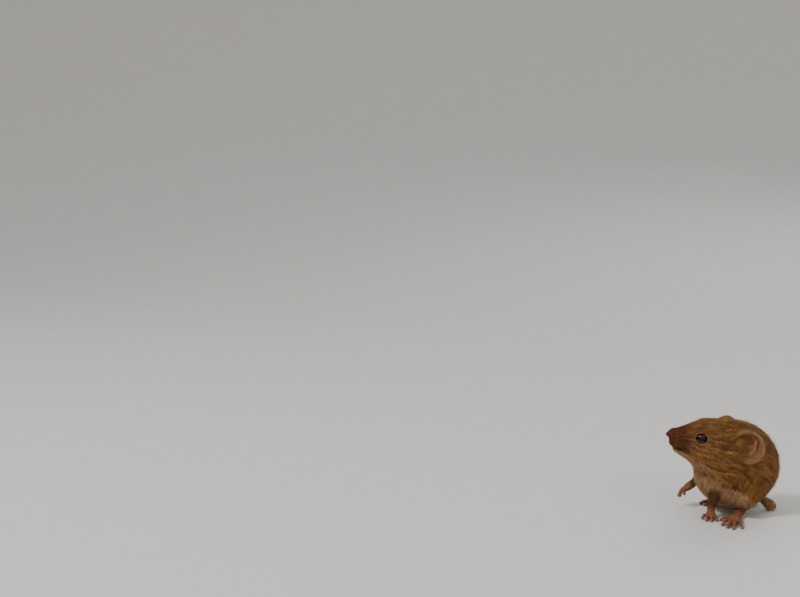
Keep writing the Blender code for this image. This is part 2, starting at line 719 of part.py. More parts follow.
def tail_tube(places, radii, start, end):
    """Rings round the tail from one step to another, with flat ends."""
    vertices = []
    for index in range(start, end + 1):
        ahead = places[min(index + 1, TAIL_STEPS)] - places[index - 1]
        ahead /= np.linalg.norm(ahead)
        place = places[index] + ahead * (GAP if index == start else 0.0)
        across = np.cross((0.0, 0.0, 1.0), ahead)
        across /= np.linalg.norm(across)
        upward = np.cross(ahead, across)
        for angle in np.linspace(0.0, 2.0 * math.pi, TAIL_SIDES, endpoint=False):
            spot = place + radii[index] * (math.cos(angle) * across + math.sin(angle) * upward)
            vertices.append((spot[0], spot[1], max(spot[2], 0.0)))
    faces = []
    for ring in range(0, (end - start) * TAIL_SIDES, TAIL_SIDES):
        for step in range(TAIL_SIDES):
            other = (step + 1) % TAIL_SIDES
            faces.append((ring + step, ring + other, ring + TAIL_SIDES + other, ring + TAIL_SIDES + step))
    faces.append(tuple(reversed(range(TAIL_SIDES))))
    faces.append(tuple(range(len(vertices) - TAIL_SIDES, len(vertices))))
    return vertices, faces


def make_tail():
    """The tail in lengths with flat ends; the first one is rooted in the rump."""
    places, radii = tail_sizes()
    first = TAIL_JOINTS[0]
    ahead = places[first] - places[first - 1]
    ahead /= np.linalg.norm(ahead)

    def root(points):
        field = chain(points, places[:first + 1:2], radii[:first + 1:2], GAP)
        field = np.maximum(field, -points[:, 2])
        return clear_of_body(np.maximum(field, (points - places[first]) @ ahead), points)

    reach = 2.0 * TAIL_ROOT_RADIUS
    low, high = places[:first + 1].min(axis=0) - reach, places[:first + 1].max(axis=0) + reach
    field_piece("tail_1", root, low, high, TAIL_BROWN)
    for number, (start, end) in enumerate(itertools.pairwise(TAIL_JOINTS), 2):
        piece = new_object(f"tail_{number}", *tail_tube(places, radii, start, end))
        bm = bmesh.new()
        bm.from_mesh(piece.data)
        bmesh.ops.triangulate(bm, faces=bm.faces)
        bmesh.ops.recalc_face_normals(bm, faces=bm.faces)
        bm.to_mesh(piece.data)
        bm.free()
        finish(piece, TAIL_BROWN)


def centre_on_floor():
    """Moves everything so that the origin is on the floor, in the middle of the whole animal's box."""
    corners = np.array([vertex.co for piece in bpy.data.objects for vertex in piece.data.vertices])
    low, high = corners.min(axis=0), corners.max(axis=0)
    shift = Matrix.Translation((-(low[0] + high[0]) / 2.0, -(low[1] + high[1]) / 2.0, -low[2]))
    for piece in bpy.data.objects:
        piece.data.transform(shift)


def main():
    for old in list(bpy.data.objects):
        bpy.data.objects.remove(old)
    make_trunk()
    make_feet()
    make_head_parts()
    make_tail()
    centre_on_floor()


main()
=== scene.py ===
"""Looks of the harvest mouse: one skin over the whole animal, its coat, eyes, claws and whiskers.

The skin is described by distance fields like those of the solids, drawn in by the depth of the coat,
with finer ears, nose, lids and toes, and turned into one mesh. Tufts of fur are scattered over it with a
seeded draw; each follows the lie of the coat and the form below it. Sizes are in millimetres in the
animal's own frame, where the floor is z = 0, the mouse faces -X and its left side faces -Y; ORIGIN moves
that frame onto the solids. Colours are linear.
"""

import math
from itertools import pairwise

import bpy
import numpy as np
from mathutils import Matrix, Vector, kdtree


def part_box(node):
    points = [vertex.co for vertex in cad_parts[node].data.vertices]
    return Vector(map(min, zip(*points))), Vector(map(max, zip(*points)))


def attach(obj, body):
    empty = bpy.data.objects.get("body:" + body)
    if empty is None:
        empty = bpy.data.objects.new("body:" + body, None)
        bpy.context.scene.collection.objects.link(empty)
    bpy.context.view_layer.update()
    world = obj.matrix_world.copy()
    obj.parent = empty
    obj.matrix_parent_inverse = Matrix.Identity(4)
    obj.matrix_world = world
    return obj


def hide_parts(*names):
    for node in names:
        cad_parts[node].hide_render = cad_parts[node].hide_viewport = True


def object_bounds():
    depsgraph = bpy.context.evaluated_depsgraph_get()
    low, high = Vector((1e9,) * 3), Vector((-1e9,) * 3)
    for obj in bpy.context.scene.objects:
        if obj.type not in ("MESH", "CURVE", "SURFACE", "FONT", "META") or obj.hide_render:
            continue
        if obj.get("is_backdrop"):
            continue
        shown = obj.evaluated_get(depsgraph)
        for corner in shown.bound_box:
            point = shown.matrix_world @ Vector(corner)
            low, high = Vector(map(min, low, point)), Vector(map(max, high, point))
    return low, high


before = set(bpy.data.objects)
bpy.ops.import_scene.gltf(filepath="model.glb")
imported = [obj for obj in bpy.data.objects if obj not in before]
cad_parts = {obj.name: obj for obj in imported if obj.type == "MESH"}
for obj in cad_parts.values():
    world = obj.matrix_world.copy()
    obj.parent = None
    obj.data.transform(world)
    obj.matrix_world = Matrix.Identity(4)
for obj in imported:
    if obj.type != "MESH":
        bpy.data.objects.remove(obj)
CAD_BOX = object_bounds()

MM = 0.001
SEED = 7
CELL = 0.16
COAT_SHARE = 1.0

# Sizes of the animal in life, with its coat
EYE_RADIUS = 1.5
EAR_HEIGHT = 7.4
EAR_WIDTH = 7.4
EAR_DEPTH = 2.7
EAR_SHEET = 0.34
TAIL_ROOT_RADIUS = 0.98
TAIL_TIP_RADIUS = 0.3
TAIL_SINK = 0.92

# Where the head and the body stand, and how far each is turned towards the left side (degrees)
HEAD_ORIGIN = (-6.0, 0.0, 18.6)
HEAD_YAW = 18.0
BODY_ORIGIN = (6.5, 6.5, 0.0)
BODY_YAW = 30.0

LEFT = 1.0
RIGHT = -1.0
SIDES = {"left": LEFT, "right": RIGHT}

# How wide the fillet is where two masses melt into each other
BROAD = 2.5
SOFT = 1.0
TIGHT = 0.5
FINE = 0.2
HEAD_FILLET = 1.6
TAIL_FILLET = 0.7

# The head, from between the eyes: forward, left (mirrored for the right) and up
CRANIUM, CRANIUM_RADII = (-5.6, 0.0, -1.3), (8.0, 6.0, 5.5)
MUZZLE_TIP, MUZZLE_ROOT, MUZZLE_RADII = (5.4, 0.0, 0.5), (-0.6, 0.0, -0.35), (1.62, 4.15)
JAW_TIP, JAW_ROOT, JAW_RADII = (4.9, 0.0, -3.0), (0.0, 0.0, -4.1), (0.9, 2.9)
LIP, LIP_RADII = (5.5, 0.0, -1.2), (1.2, 1.1, 1.3)
CHEEK, CHEEK_RADII = (-2.9, 3.0, -3.9), (4.0, 2.8, 3.2)
WHISKER_PAD, WHISKER_PAD_RADII = (4.5, 1.15, -1.3), (1.8, 1.2, 1.45)
NOSE, NOSE_RADII = (6.75, 0.0, 0.62), (0.78, 0.72, 0.62)
NOSE_WING, NOSE_WING_RADII = (6.8, 0.47, 0.46), (0.6, 0.44, 0.42)
NOSTRIL, NOSTRIL_RADII = ((7.7, 0.36, 0.58), (7.1, 0.74, 0.64), (6.7, 0.98, 0.42)), (0.18, 0.22, 0.1)
MOUTH_LINE, MOUTH_RADII = ((6.5, 0.0, -2.15), (5.3, 1.2, -2.5), (3.0, 2.6, -3.3)), (0.24, 0.24, 0.14)
PHILTRUM, PHILTRUM_RADII = ((7.75, 0.0, 0.5), (7.2, 0.0, -0.5), (6.6, 0.0, -1.9)), (0.07, 0.12, 0.1)
EYE, EYE_FACING, EYE_UP = (0.1, 3.45, 0.25), (0.28, 0.94, 0.18), (-0.12, 0.0, 1.0)
LID_THICKNESS = 0.4
LID_HALF_WIDTH = 1.42
LID_HALF_HEIGHT = 1.16

# Rump, back, chest and belly from the floor under the hips, each a centre and radii; the neck in the room
TRUNK = (
    ((1.2, 0.0, 11.1), (7.2, 7.1, 8.2)),
    ((3.7, 0.0, 13.6), (7.9, 6.9, 8.2)),
    ((9.2, 0.0, 10.2), (5.4, 5.2, 6.6)),
    ((4.6, 0.0, 6.0), (6.8, 6.0, 4.9)),
)
NECK, NECK_RADII = (0.4, 1.6, 14.6), (6.6, 6.2, 6.2)
HIP, KNEE, THIGH_RADII = (1.3, 3.9, 9.2), (5.0, 5.0, 5.4), (3.6, 2.9)
SHIN_TOP, SHIN_RADII = (4.4, 5.0, 4.2), (2.0, 1.15)
ANKLE_HEIGHT = 1.75

# The hind foot, from the heel on the floor, and the forepaw
SOLE_LENGTH, SOLE_HEIGHTS, SOLE_RADII = 8.0, (1.0, 0.85), (1.1, 0.95)
FOOT_BALL, FOOT_BALL_RADII = (7.8, 0.0, 0.8), (1.9, 1.75, 0.85)
PALM_RADII = (1.3, 1.15, 0.8)
WRIST_RADII = (0.8, 0.75)

# Colours of coat, bare skin and eyes
BACK = (0.205, 0.085, 0.023)
FLANK = (0.29, 0.122, 0.031)
BUFF = (0.47, 0.265, 0.130)
MUZZLE = (0.125, 0.034, 0.010)
# The forelegs' brown: partly their own colour, partly painted shade
LEG_BROWN_AND_SHADE = (0.095, 0.036, 0.010)
DARK = (0.050, 0.020, 0.007)
GOLD = (0.48, 0.230, 0.062)
PINK = (0.20, 0.072, 0.040)
EAR_PINK = (0.42, 0.170, 0.095)
NOSE_PINK = (0.078, 0.026, 0.015)
# Painted shade inside the nostrils and along the mouth line
RECESS_SHADE = (0.032, 0.010, 0.006)
LID_GREY = (0.115, 0.062, 0.048)
TAIL_BROWN = (0.17, 0.085, 0.037)
TAIL_PALE = (0.36, 0.22, 0.13)
HORN = (0.34, 0.21, 0.13)
EYE_BLACK = (0.004, 0.0025, 0.002)
EYE_BROWN = (0.012, 0.005, 0.003)


# Fields


def turned_axes(yaw):
    """Rows: forward, left and up of something that faces -X before it is turned by yaw."""
    angle = math.radians(yaw)
    forward = (-math.cos(angle), -math.sin(angle), 0.0)
    left = (math.sin(angle), -math.cos(angle), 0.0)
    return np.array((forward, left, (0.0, 0.0, 1.0)))


HEAD_AXES = turned_axes(HEAD_YAW)
BODY_AXES = turned_axes(BODY_YAW)


def on_head(forward, left, up):
    """A place given from between the eyes, in the animal's frame."""
    return np.array(HEAD_ORIGIN) + np.array((forward, left, up)) @ HEAD_AXES


def on_body(forward, left, up):
    """A place given from the floor under the hips, in the animal's frame."""
    return np.array(BODY_ORIGIN) + np.array((forward, left, up)) @ BODY_AXES


def in_room(x, y, z):
    """A place given in the animal's frame itself."""
    return np.array((x, y, z))


def head_local(points):
    """Places as seen from between the eyes: forward, left and up."""
    return (points - np.array(HEAD_ORIGIN)) @ HEAD_AXES.T


def body_local(points):
    """Places as seen from the floor under the hips: forward, left and up."""
    return (points - np.array(BODY_ORIGIN)) @ BODY_AXES.T


def ball(points, centre, radii, axes=None):
    """Distance to an ellipsoid, exact on its surface."""
    local = points - np.asarray(centre)
    if axes is not None:
        local = local @ axes.T
    scaled = local / radii
    near = np.linalg.norm(scaled, axis=1)
    slope = np.linalg.norm(scaled / radii, axis=1)
    return near * (near - 1.0) / np.maximum(slope, 1e-9)


def rod(points, start, end, start_radius, end_radius):
    """Distance to a straight rod whose round section grows or shrinks from start to end."""
    start = np.asarray(start, float)
    run = np.asarray(end, float) - start
    along = np.clip((points - start) @ run / (run @ run), 0.0, 1.0)
    away = np.linalg.norm(points - start - along[:, None] * run, axis=1)
    return away - (start_radius + along * (end_radius - start_radius))


def chain(points, places, radii, width=0.0):
    """Rods from place to place, melted together over a width."""
    field = rod(points, places[0], places[1], radii[0], radii[1])
    for index in range(1, len(places) - 1):
        piece = rod(points, places[index], places[index + 1], radii[index], radii[index + 1])
        field = melt(field, piece, width)
    return field


def melt(first, second, width):
    """Union of two fields, with a fillet about as wide as width."""
    if width <= 0.0:
        return np.minimum(first, second)
    overlap = np.maximum(width - np.abs(first - second), 0.0) / width
    return np.minimum(first, second) - overlap * overlap * width / 4.0


def carve(field, cutter, width=0.0):
    """The first field without the second, with a rounded edge."""
    return -melt(-field, cutter, width)


def ramp(values, low, high):
    """Smooth step from 0 at low to 1 at high; low may be the larger."""
    share = np.clip((values - low) / (high - low), 0.0, 1.0)
    return share * share * (3.0 - 2.0 * share)


def mirrored(place, side):
    """A place of the left side, or its mirror image for the right."""
    return np.array((place[0], place[1] * side, place[2]))


FAR = 9.0


def nearby(points, low, high, field):
    """A field worked out only inside a box; everywhere else it is far away."""
    result = np.full(len(points), FAR)
    inside = np.all((points > low) & (points < high), axis=1)
    if inside.any():
        result[inside] = field(points[inside])
    return result


# Head


def eye_place(side):
    """Centre of an eyeball on the head."""
    return mirrored(EYE, side)


def head_mass(local):
    """Skull, muzzle, jaw, lips, cheeks and whisker pads, with their fur."""
    field = ball(local, CRANIUM, CRANIUM_RADII)
    field = melt(field, rod(local, MUZZLE_TIP, MUZZLE_ROOT, *MUZZLE_RADII), BROAD)
    field = melt(field, rod(local, JAW_TIP, JAW_ROOT, *JAW_RADII), SOFT)
    field = melt(field, ball(local, LIP, LIP_RADII), TIGHT)
    for side in SIDES.values():
        field = melt(field, ball(local, mirrored(CHEEK, side), CHEEK_RADII), BROAD)
        field = melt(field, ball(local, mirrored(WHISKER_PAD, side), WHISKER_PAD_RADII), SOFT)
    return field


def eye_axes(side):
    """Rows: outward through the pupil, along towards the nose, and up, of an eye on the head."""
    outward = mirrored(EYE_FACING, side)
    outward /= np.linalg.norm(outward)
    up = np.array(EYE_UP)
    up -= outward * (up @ outward)
    up /= np.linalg.norm(up)
    along = np.cross(up, outward) * side
    return np.array((outward, along, up))


# How wide the corners of the lids' opening are rounded, how far out of the eye's middle it begins, and the
# gap between eyeball and socket
LID_CORNER = 0.6
LID_START = 0.3
EYE_PLAY = 0.015


def lid_opening(local, side):
    """The almond through which the eye looks out, wide across and pointed at both corners."""
    axes = eye_axes(side)
    outward, along, up = ((local - eye_place(side)) @ axes.T).T
    arc = (LID_HALF_WIDTH ** 2 + LID_HALF_HEIGHT ** 2) / (2.0 * LID_HALF_HEIGHT)
    rise = arc - LID_HALF_HEIGHT
    upper = np.hypot(along, up + rise) - arc
    lower = np.hypot(along, up - rise) - arc
    lens = -melt(-upper, -lower, LID_CORNER)
    return np.maximum(lens, LID_START - outward)


def nose_field(local):
    """The bare nose pad with its two wings."""
    field = ball(local, NOSE, NOSE_RADII)
    for side in SIDES.values():
        field = melt(field, ball(local, mirrored(NOSE_WING, side), NOSE_WING_RADII), 0.25)
    return field


def nostril_field(local, side, width=0.0):
    """Distance to a nostril, from the front of the nose out and back to its slit."""
    return chain(local, [mirrored(place, side) for place in NOSTRIL], NOSTRIL_RADII, width)


def lip_field(local, side, radii=(0.0, 0.0, 0.0)):
    """Distance to the line where the lips meet, from the front of the mouth to its corner."""
    return chain(local, [mirrored(place, side) for place in MOUTH_LINE], radii)


def face_details(local, field):
    """Adds nose and lids to the drawn-in head, and cuts sockets, nostrils, philtrum and mouth."""
    field = melt(field, nose_field(local), TIGHT)
    for side in SIDES.values():
        lids = ball(local, eye_place(side), (EYE_RADIUS + LID_THICKNESS,) * 3)
        field = melt(field, lids, SOFT)
    for side in SIDES.values():
        field = carve(field, ball(local, eye_place(side), (EYE_RADIUS + EYE_PLAY,) * 3))
        field = carve(field, lid_opening(local, side), 0.25)
        field = carve(field, nostril_field(local, side, 0.1), 0.1)
        field = carve(field, lip_field(local, side, MOUTH_RADII), 0.22)
    return carve(field, chain(local, PHILTRUM, PHILTRUM_RADII), FINE)


# Trunk and legs


def trunk_field(points):
    """Torso and neck as balls strung along the bent back."""
    local = body_local(points)
    field = ball(local, *TRUNK[0])
    for mass in TRUNK[1:]:
        field = melt(field, ball(local, *mass), BROAD)
    return melt(field, ball(points, NECK, NECK_RADII), BROAD)


# Where each heel stands, and the way each hind foot points (degrees, 0 is -X, 90 is -Y)
HEELS = {LEFT: (4.2, 2.5), RIGHT: (7.4, 12.7)}
FOOT_TURNS = {LEFT: 79.0, RIGHT: 24.0}


def haunch_field(points, side):
    """Thigh, knee and shin of a hind leg folded under the body."""
    field = rod(body_local(points), mirrored(HIP, side), mirrored(KNEE, side), *THIGH_RADII)
    ankle = (*HEELS[side], ANKLE_HEIGHT)
    shin = rod(points, on_body(*mirrored(SHIN_TOP, side)), ankle, *SHIN_RADII)
    return melt(field, shin, SOFT)


# Shoulder, elbow and wrist of each foreleg
FORELEGS = {
    LEFT: ((-0.6, 0.8, 10.0), (-1.5, -1.3, 7.2), (-2.5, -2.3, 2.2)),
    RIGHT: ((-3.4, 4.2, 9.8), (-5.2, 4.6, 7.6), (-7.4, 4.9, 5.6)),
}
FORELEG_RADII = (2.4, 1.25, 0.78)


def foreleg_field(points, side):
    """Upper arm and forearm down to the wrist."""
    return chain(points, FORELEGS[side], FORELEG_RADII, SOFT)


HEAD_REACH = 17.0


def coated_field(points):
    """Everything that carries fur, out to the tips of the coat."""
    field = trunk_field(points)
    for side in SIDES.values():
        field = melt(field, haunch_field(points, side), SOFT)
        field = melt(field, foreleg_field(points, side), SOFT)
    centre = np.array(HEAD_ORIGIN)
    head = nearby(points, centre - HEAD_REACH, centre + HEAD_REACH, lambda near: head_mass(head_local(near)))
    return melt(field, head, HEAD_FILLET)


# Feet

# Toes of a hind foot: forward from the heel, outward from its middle line, and thickness
HIND_TOES = ((8.6, -3.0, 0.38), (12.2, -1.9, 0.42), (13.6, -0.5, 0.44), (14.0, 0.9, 0.44), (12.6, 2.5, 0.4))
# Fingers of a forepaw: forward from the palm, outward from its middle line, and thickness
FINGERS = ((2.1, -1.7, 0.34), (3.4, -0.7, 0.36), (3.6, 0.5, 0.36), (2.6, 1.6, 0.34))
CLAW_LENGTH = 0.9
# Palm centre, the way the paw points and how far its fingers dip, of each forepaw
PAWS = {
    LEFT: ((-2.5, -3.0, 0.85), 84.0, 0.0),
    RIGHT: ((-8.0, 4.9, 5.1), 6.0, -38.0),
}
HIND_REACH = 17.0
PAW_REACH = 6.0
# The knuckle lies between root and tip by these shares, and rises this far on foot and paw
FROM_ROOT, FROM_TIP = 0.45, 0.55
TOE_RISE, FINGER_RISE = 0.42, 0.4
CLAW_SPREAD = 1.03


def foot_frame(side):
    """Heel on the floor, and rows forward, outward and up, of a hind foot."""
    axes = turned_axes(FOOT_TURNS[side])
    axes[1] *= side
    return np.array((*HEELS[side], 0.0)), axes


def paw_frame(side):
    """Palm centre, and rows forward, outward and up, of a forepaw."""
    centre, turn, dip = PAWS[side]
    axes = np.array(Matrix.Rotation(math.radians(dip), 3, "Y")) @ turned_axes(turn)
    axes[1] *= side
    return np.array(centre), axes


def hind_toes():
    """Root, knuckle and tip of each hind toe with its thickness and the tip of its claw, on the foot."""
    for forward, outward, thickness in HIND_TOES:
        root = np.array((min(8.2, forward - 2.0), outward * 0.45, 0.75))
        tip = np.array((forward - CLAW_LENGTH, outward, thickness * 0.85))
        knuckle = root * FROM_ROOT + tip * FROM_TIP + np.array((0.0, 0.0, TOE_RISE))
        yield root, knuckle, tip, thickness, np.array((forward, outward * CLAW_SPREAD, 0.12))


def fingers():
    """The same for each finger, on the paw."""
    for forward, outward, thickness in FINGERS:
        root = np.array((0.7, outward * 0.5, -0.1))
        tip = np.array((forward - CLAW_LENGTH * 0.6, outward, -0.5))
        knuckle = root * FROM_ROOT + tip * FROM_TIP + np.array((0.0, 0.0, FINGER_RISE))
        yield root, knuckle, tip, thickness, np.array((forward, outward * CLAW_SPREAD, -0.72))


def digit_field(points, root, knuckle, tip, thickness):
    """A toe with a swelling at its knuckle and a pad at its tip."""
    radii = (thickness * 1.1, thickness * 0.88, thickness * 0.72)
    toe = chain(points, (root, knuckle, tip), radii, FINE)
    joint = ball(points, knuckle, (thickness * 0.96,) * 3)
    toe = melt(toe, joint, FINE)
    pad = ball(points, tip, (thickness * 0.9,) * 3)
    return melt(toe, pad, 0.15)


def hind_foot_field(points, side):
    """Sole, five toes and pads, standing on the floor."""
    heel, axes = foot_frame(side)
    local = (points - heel) @ axes.T
    sole = ((0.0, 0.0, SOLE_HEIGHTS[0]), (SOLE_LENGTH, 0.0, SOLE_HEIGHTS[1]))
    field = rod(local, *sole, *SOLE_RADII)
    field = melt(field, ball(local, FOOT_BALL, FOOT_BALL_RADII), 0.8)
    for root, knuckle, tip, thickness, _ in hind_toes():
        field = melt(field, digit_field(local, root, knuckle, tip, thickness), 0.3)
    return np.maximum(field, -points[:, 2])


def forepaw_field(points, side):
    """Palm, four fingers and pads, standing on the floor or held up."""
    centre, axes = paw_frame(side)
    local = (points - centre) @ axes.T
    field = ball(local, (0.0, 0.0, 0.0), PALM_RADII)
    wrist = axes @ (np.array(FORELEGS[side][2]) - centre)
    field = melt(field, rod(local, wrist, (0.0, 0.0, 0.0), *WRIST_RADII), TIGHT)
    for root, knuckle, tip, thickness, _ in fingers():
        field = melt(field, digit_field(local, root, knuckle, tip, thickness), 0.22)
    return np.maximum(field, -points[:, 2])


def feet_field(points):
    """All four feet."""
    field = np.full(len(points), FAR)
    for side in SIDES.values():
        for frame_of, part_field, reach in (
                (foot_frame, hind_foot_field, HIND_REACH), (paw_frame, forepaw_field, PAW_REACH)):
            centre = frame_of(side)[0]
            part = nearby(points, centre - reach, centre + reach, lambda near: part_field(near, side))
            field = np.minimum(field, part)
    return field


# Ears

# Centre of each ear's opening on the head; the right ear is pricked a little further forward
EARS = {LEFT: (-9.7, 6.5, -1.2), RIGHT: (-8.2, -6.1, -0.1)}
EAR_FACING = (0.42, 0.9, 0.08)
EAR_REACH = 7.0
# How far past the ear's opening the head keeps clear of it
EAR_CLEARANCE = 1.8
# On the ear's own axes: where the cup ends, its rolled rim, the fold inside it and the lobe at the front
CUP_END, RIM, RIM_RADIUS = 0.2, 0.05, 0.21
FOLD = ((-1.9, 0.2, -2.3), (-1.7, 1.5, -0.6), (-1.5, 1.7, 1.2), (-1.2, 0.9, 2.4))
FOLD_RADII = (0.42, 0.34, 0.28, 0.2)
LOBE, LOBE_RADII = (-0.7, -2.5, -1.6), (0.75, 0.55, 1.0)


def ear_frame(side):
    """Centre of the ear's opening and its axes: facing, towards the back of the head, and up the ear."""
    centre = on_head(*EARS[side])
    facing = on_head(*mirrored(EAR_FACING, side)) - np.array(HEAD_ORIGIN)
    facing /= np.linalg.norm(facing)
    up = np.array((0.0, 0.0, 1.0))
    up = up - facing * (up @ facing)
    up /= np.linalg.norm(up)
    rearward = np.cross(up, facing) * side
    return centre, np.array((facing, rearward, up))


def past_opening(points, side):
    """How far places lie outward of the plane of the ear's opening."""
    centre, axes = ear_frame(side)
    return (points - centre) @ axes[0]


def ear_bowl(points, side):
    """The egg whose inner half is the ear's cup."""
    centre, axes = ear_frame(side)
    return ball(points, centre, (EAR_DEPTH, EAR_WIDTH / 2.0, EAR_HEIGHT / 2.0), axes)


def ear_field(points, side):
    """A thin cup with a rolled rim, an inner fold and a small lobe at the front."""
    centre, axes = ear_frame(side)
    local = (points - centre) @ axes.T
    bowl = ear_bowl(points, side)
    sheet = np.abs(bowl + EAR_SHEET / 2.0) - EAR_SHEET / 2.0
    sheet = carve(sheet, CUP_END - local[:, 0], FINE)
    rim = np.hypot(bowl + EAR_SHEET / 2.0, local[:, 0] - RIM) - RIM_RADIUS
    field = melt(sheet, rim, FINE)
    field = melt(field, chain(local, FOLD, FOLD_RADII, 0.3), TIGHT)
    return melt(field, ball(local, LOBE, LOBE_RADII), TIGHT)


def ears_field(points):
    """Both ears."""
    field = np.full(len(points), FAR)
    for side in SIDES.values():
        centre = ear_frame(side)[0]
        ear = nearby(points, centre - EAR_REACH, centre + EAR_REACH, lambda near: ear_field(near, side))
        field = np.minimum(field, ear)
    return field


def ear_hollow(points, side):
    """The space inside the ear's cup, which the head leaves free."""
    return np.maximum(ear_bowl(points, side) + EAR_SHEET * 0.6, past_opening(points, side) - EAR_CLEARANCE)


# Tail


# Places along the tail: out of the rump, down to the floor and round behind the body
TAIL_ROUTE = (
    (6.6, 10.2, 5.6), (8.4, 9.2, 3.5), (9.9, 7.9, 1.7), (11.3, 8.0, 0.0), (11.6, 10.6, 0.0),
    (10.6, 14.0, 0.0), (6.8, 17.2, 0.0), (2.0, 19.0, 0.0), (-1.4, 21.8, 0.0), (-0.6, 25.4, 0.0),
    (3.2, 27.6, 0.0), (7.8, 27.4, 0.0),
)
ROUTE_STEPS = 24
TAIL_COUNT = 61
TAIL_TAPER = 0.8
# The last few places run out to a point, down to this share of their radius
POINT_COUNT, POINT_SHARE = 6, 0.3
TAIL_MARGIN = 2.5


def smooth_route(places, count):
    """Evenly spaced places on a smooth curve through the given ones."""
    places = np.array(places)
    padded = np.vstack((2.0 * places[0] - places[1], places, 2.0 * places[-1] - places[-2]))
    fine = []
    for index in range(len(places) - 1):
        before, start, end, after = padded[index:index + 4]
        for step in np.linspace(0.0, 1.0, ROUTE_STEPS, endpoint=False):
            bend = 2.0 * before - 5.0 * start + 4.0 * end - after
            twist = 3.0 * (start - end) + after - before
            fine.append(start + 0.5 * step * (end - before + step * (bend + step * twist)))
    fine.append(places[-1])
    fine = np.array(fine)
    steps = np.linalg.norm(np.diff(fine, axis=0), axis=1)
    travelled = np.concatenate(((0.0,), np.cumsum(steps)))
    wanted = np.linspace(0.0, travelled[-1], count)
    return np.column_stack([np.interp(wanted, travelled, fine[:, axis]) for axis in range(3)])


TAIL_PLACES = smooth_route(TAIL_ROUTE, TAIL_COUNT)
TAIL_SHARES = np.linspace(0.0, 1.0, TAIL_COUNT)
TAIL_RADII = TAIL_ROOT_RADIUS + (TAIL_TIP_RADIUS - TAIL_ROOT_RADIUS) * TAIL_SHARES ** TAIL_TAPER
TAIL_RADII[-POINT_COUNT:] *= np.linspace(1.0, POINT_SHARE, POINT_COUNT)
TAIL_PLACES[:, 2] = np.maximum(TAIL_PLACES[:, 2], TAIL_SINK * TAIL_RADII)
TAIL_LENGTH = np.linalg.norm(np.diff(TAIL_PLACES, axis=0), axis=1).sum()


def tail_near(points):
    """Distance to the tail, and how far along it (mm) the nearest place lies."""
    best = np.full(len(points), FAR)
    travelled = np.zeros(len(points))
    step = TAIL_LENGTH / (TAIL_COUNT - 1)
    for index in range(TAIL_COUNT - 1):
        start, end = TAIL_PLACES[index], TAIL_PLACES[index + 1]
        low, high = np.minimum(start, end) - TAIL_MARGIN, np.maximum(start, end) + TAIL_MARGIN
        chosen = np.flatnonzero(np.all((points > low) & (points < high), axis=1))
        if not len(chosen):
            continue
        near = points[chosen]
        run = end - start
        share = np.clip((near - start) @ run / (run @ run), 0.0, 1.0)
        away = np.linalg.norm(near - start - share[:, None] * run, axis=1)
        away -= TAIL_RADII[index] + share * (TAIL_RADII[index + 1] - TAIL_RADII[index])
        closer = away < best[chosen]
        best[chosen[closer]] = away[closer]
        travelled[chosen[closer]] = (index + share[closer]) * step
    return np.maximum(best, -points[:, 2]), travelled


# The coat's length and lie

# Length of the fur (mm) at places on the middle line of head and body
MIDDLE_FUR = (
    (on_head, (7.0, 0.0, 0.8), 0.34), (on_head, (5.0, 0.0, 1.6), 0.45), (on_head, (2.0, 0.0, 3.0), 0.6),
    (on_head, (-2.5, 0.0, 4.4), 0.95), (on_head, (-7.0, 0.0, 4.6), 1.35), (on_head, (4.5, 0.0, -3.2), 0.45),
    (on_head, (0.5, 0.0, -6.0), 0.9), (on_body, (6.0, 0.0, 21.0), 1.9), (on_body, (-1.0, 0.0, 18.5), 2.2),
    (on_body, (-5.5, 0.0, 11.0), 2.3), (on_body, (-4.5, 0.0, 5.0), 1.9), (on_body, (14.0, 0.0, 9.0), 1.5),
    (on_body, (10.5, 0.0, 3.5), 1.6), (on_body, (4.0, 0.0, 1.0), 1.5),
)
# The same on both sides of the head, before the ears, on both sides of the body and down the legs
HEAD_FUR = (
    ((5.0, 1.9, -1.0), 0.42), ((2.4, 3.2, -1.4), 0.5), ((0.1, 4.6, 0.3), 0.42),
    ((-2.6, 4.9, 0.8), 0.7), ((-2.5, 5.3, -3.4), 1.0), ((-7.0, 5.6, -3.0), 1.4),
)
EAR_FUR = (((0.3, -3.6, 0.6), 3.4), ((0.0, -3.2, -2.2), 3.2))
BODY_FUR = (
    ((9.0, 5.0, 12.0), 1.8), ((3.0, 6.8, 15.0), 2.1), ((-0.5, 7.0, 11.0), 2.1),
    ((5.2, 7.2, 6.5), 1.5), ((5.0, 7.0, 3.5), 1.1),
)
HEEL_HEIGHT, HEEL_FUR = 1.6, 0.5
SHOULDER_SHIFT, ARM_FUR = (-1.2, -1.5, 0.0), (1.3, 0.75, 0.35)


def side_fur(side):
    """Places of one side and the length of the fur there."""
    ear, ear_axes = ear_frame(side)
    shoulder, elbow, wrist = (np.array(place) for place in FORELEGS[side])
    marks = [(on_head(*mirrored(place, side)), length) for place, length in HEAD_FUR]
    marks += [(ear + place @ ear_axes, length) for place, length in EAR_FUR]
    marks += [(on_body(*mirrored(place, side)), length) for place, length in BODY_FUR]
    marks.append((np.array((*HEELS[side], HEEL_HEIGHT)), HEEL_FUR))
    return marks + list(zip((shoulder + mirrored(SHOULDER_SHIFT, side), elbow, wrist), ARM_FUR))


def all_fur_lengths():
    """Every place with its length, those of the two sides in turn."""
    marks = [(place_on(*place), length) for place_on, place, length in MIDDLE_FUR]
    for pair in zip(side_fur(LEFT), side_fur(RIGHT)):
        marks.extend(pair)
    return marks


FUR_MARKS = all_fur_lengths()
# How far a mark's length reaches, and how deep the skin lies under the tips, as a share of the length
MARK_REACH = 0.6
DEPTH_SHARE = 0.26


def blended_length(points):
    """Length of the fur: near each mark the mark's own, and blended between them."""
    total = np.zeros(len(points))
    weights = np.zeros(len(points))
    for place, length in FUR_MARKS:
        weight = 1.0 / (((points - place) ** 2).sum(axis=1) + MARK_REACH) ** 2
        total += weight * length
        weights += weight
    return total / weights


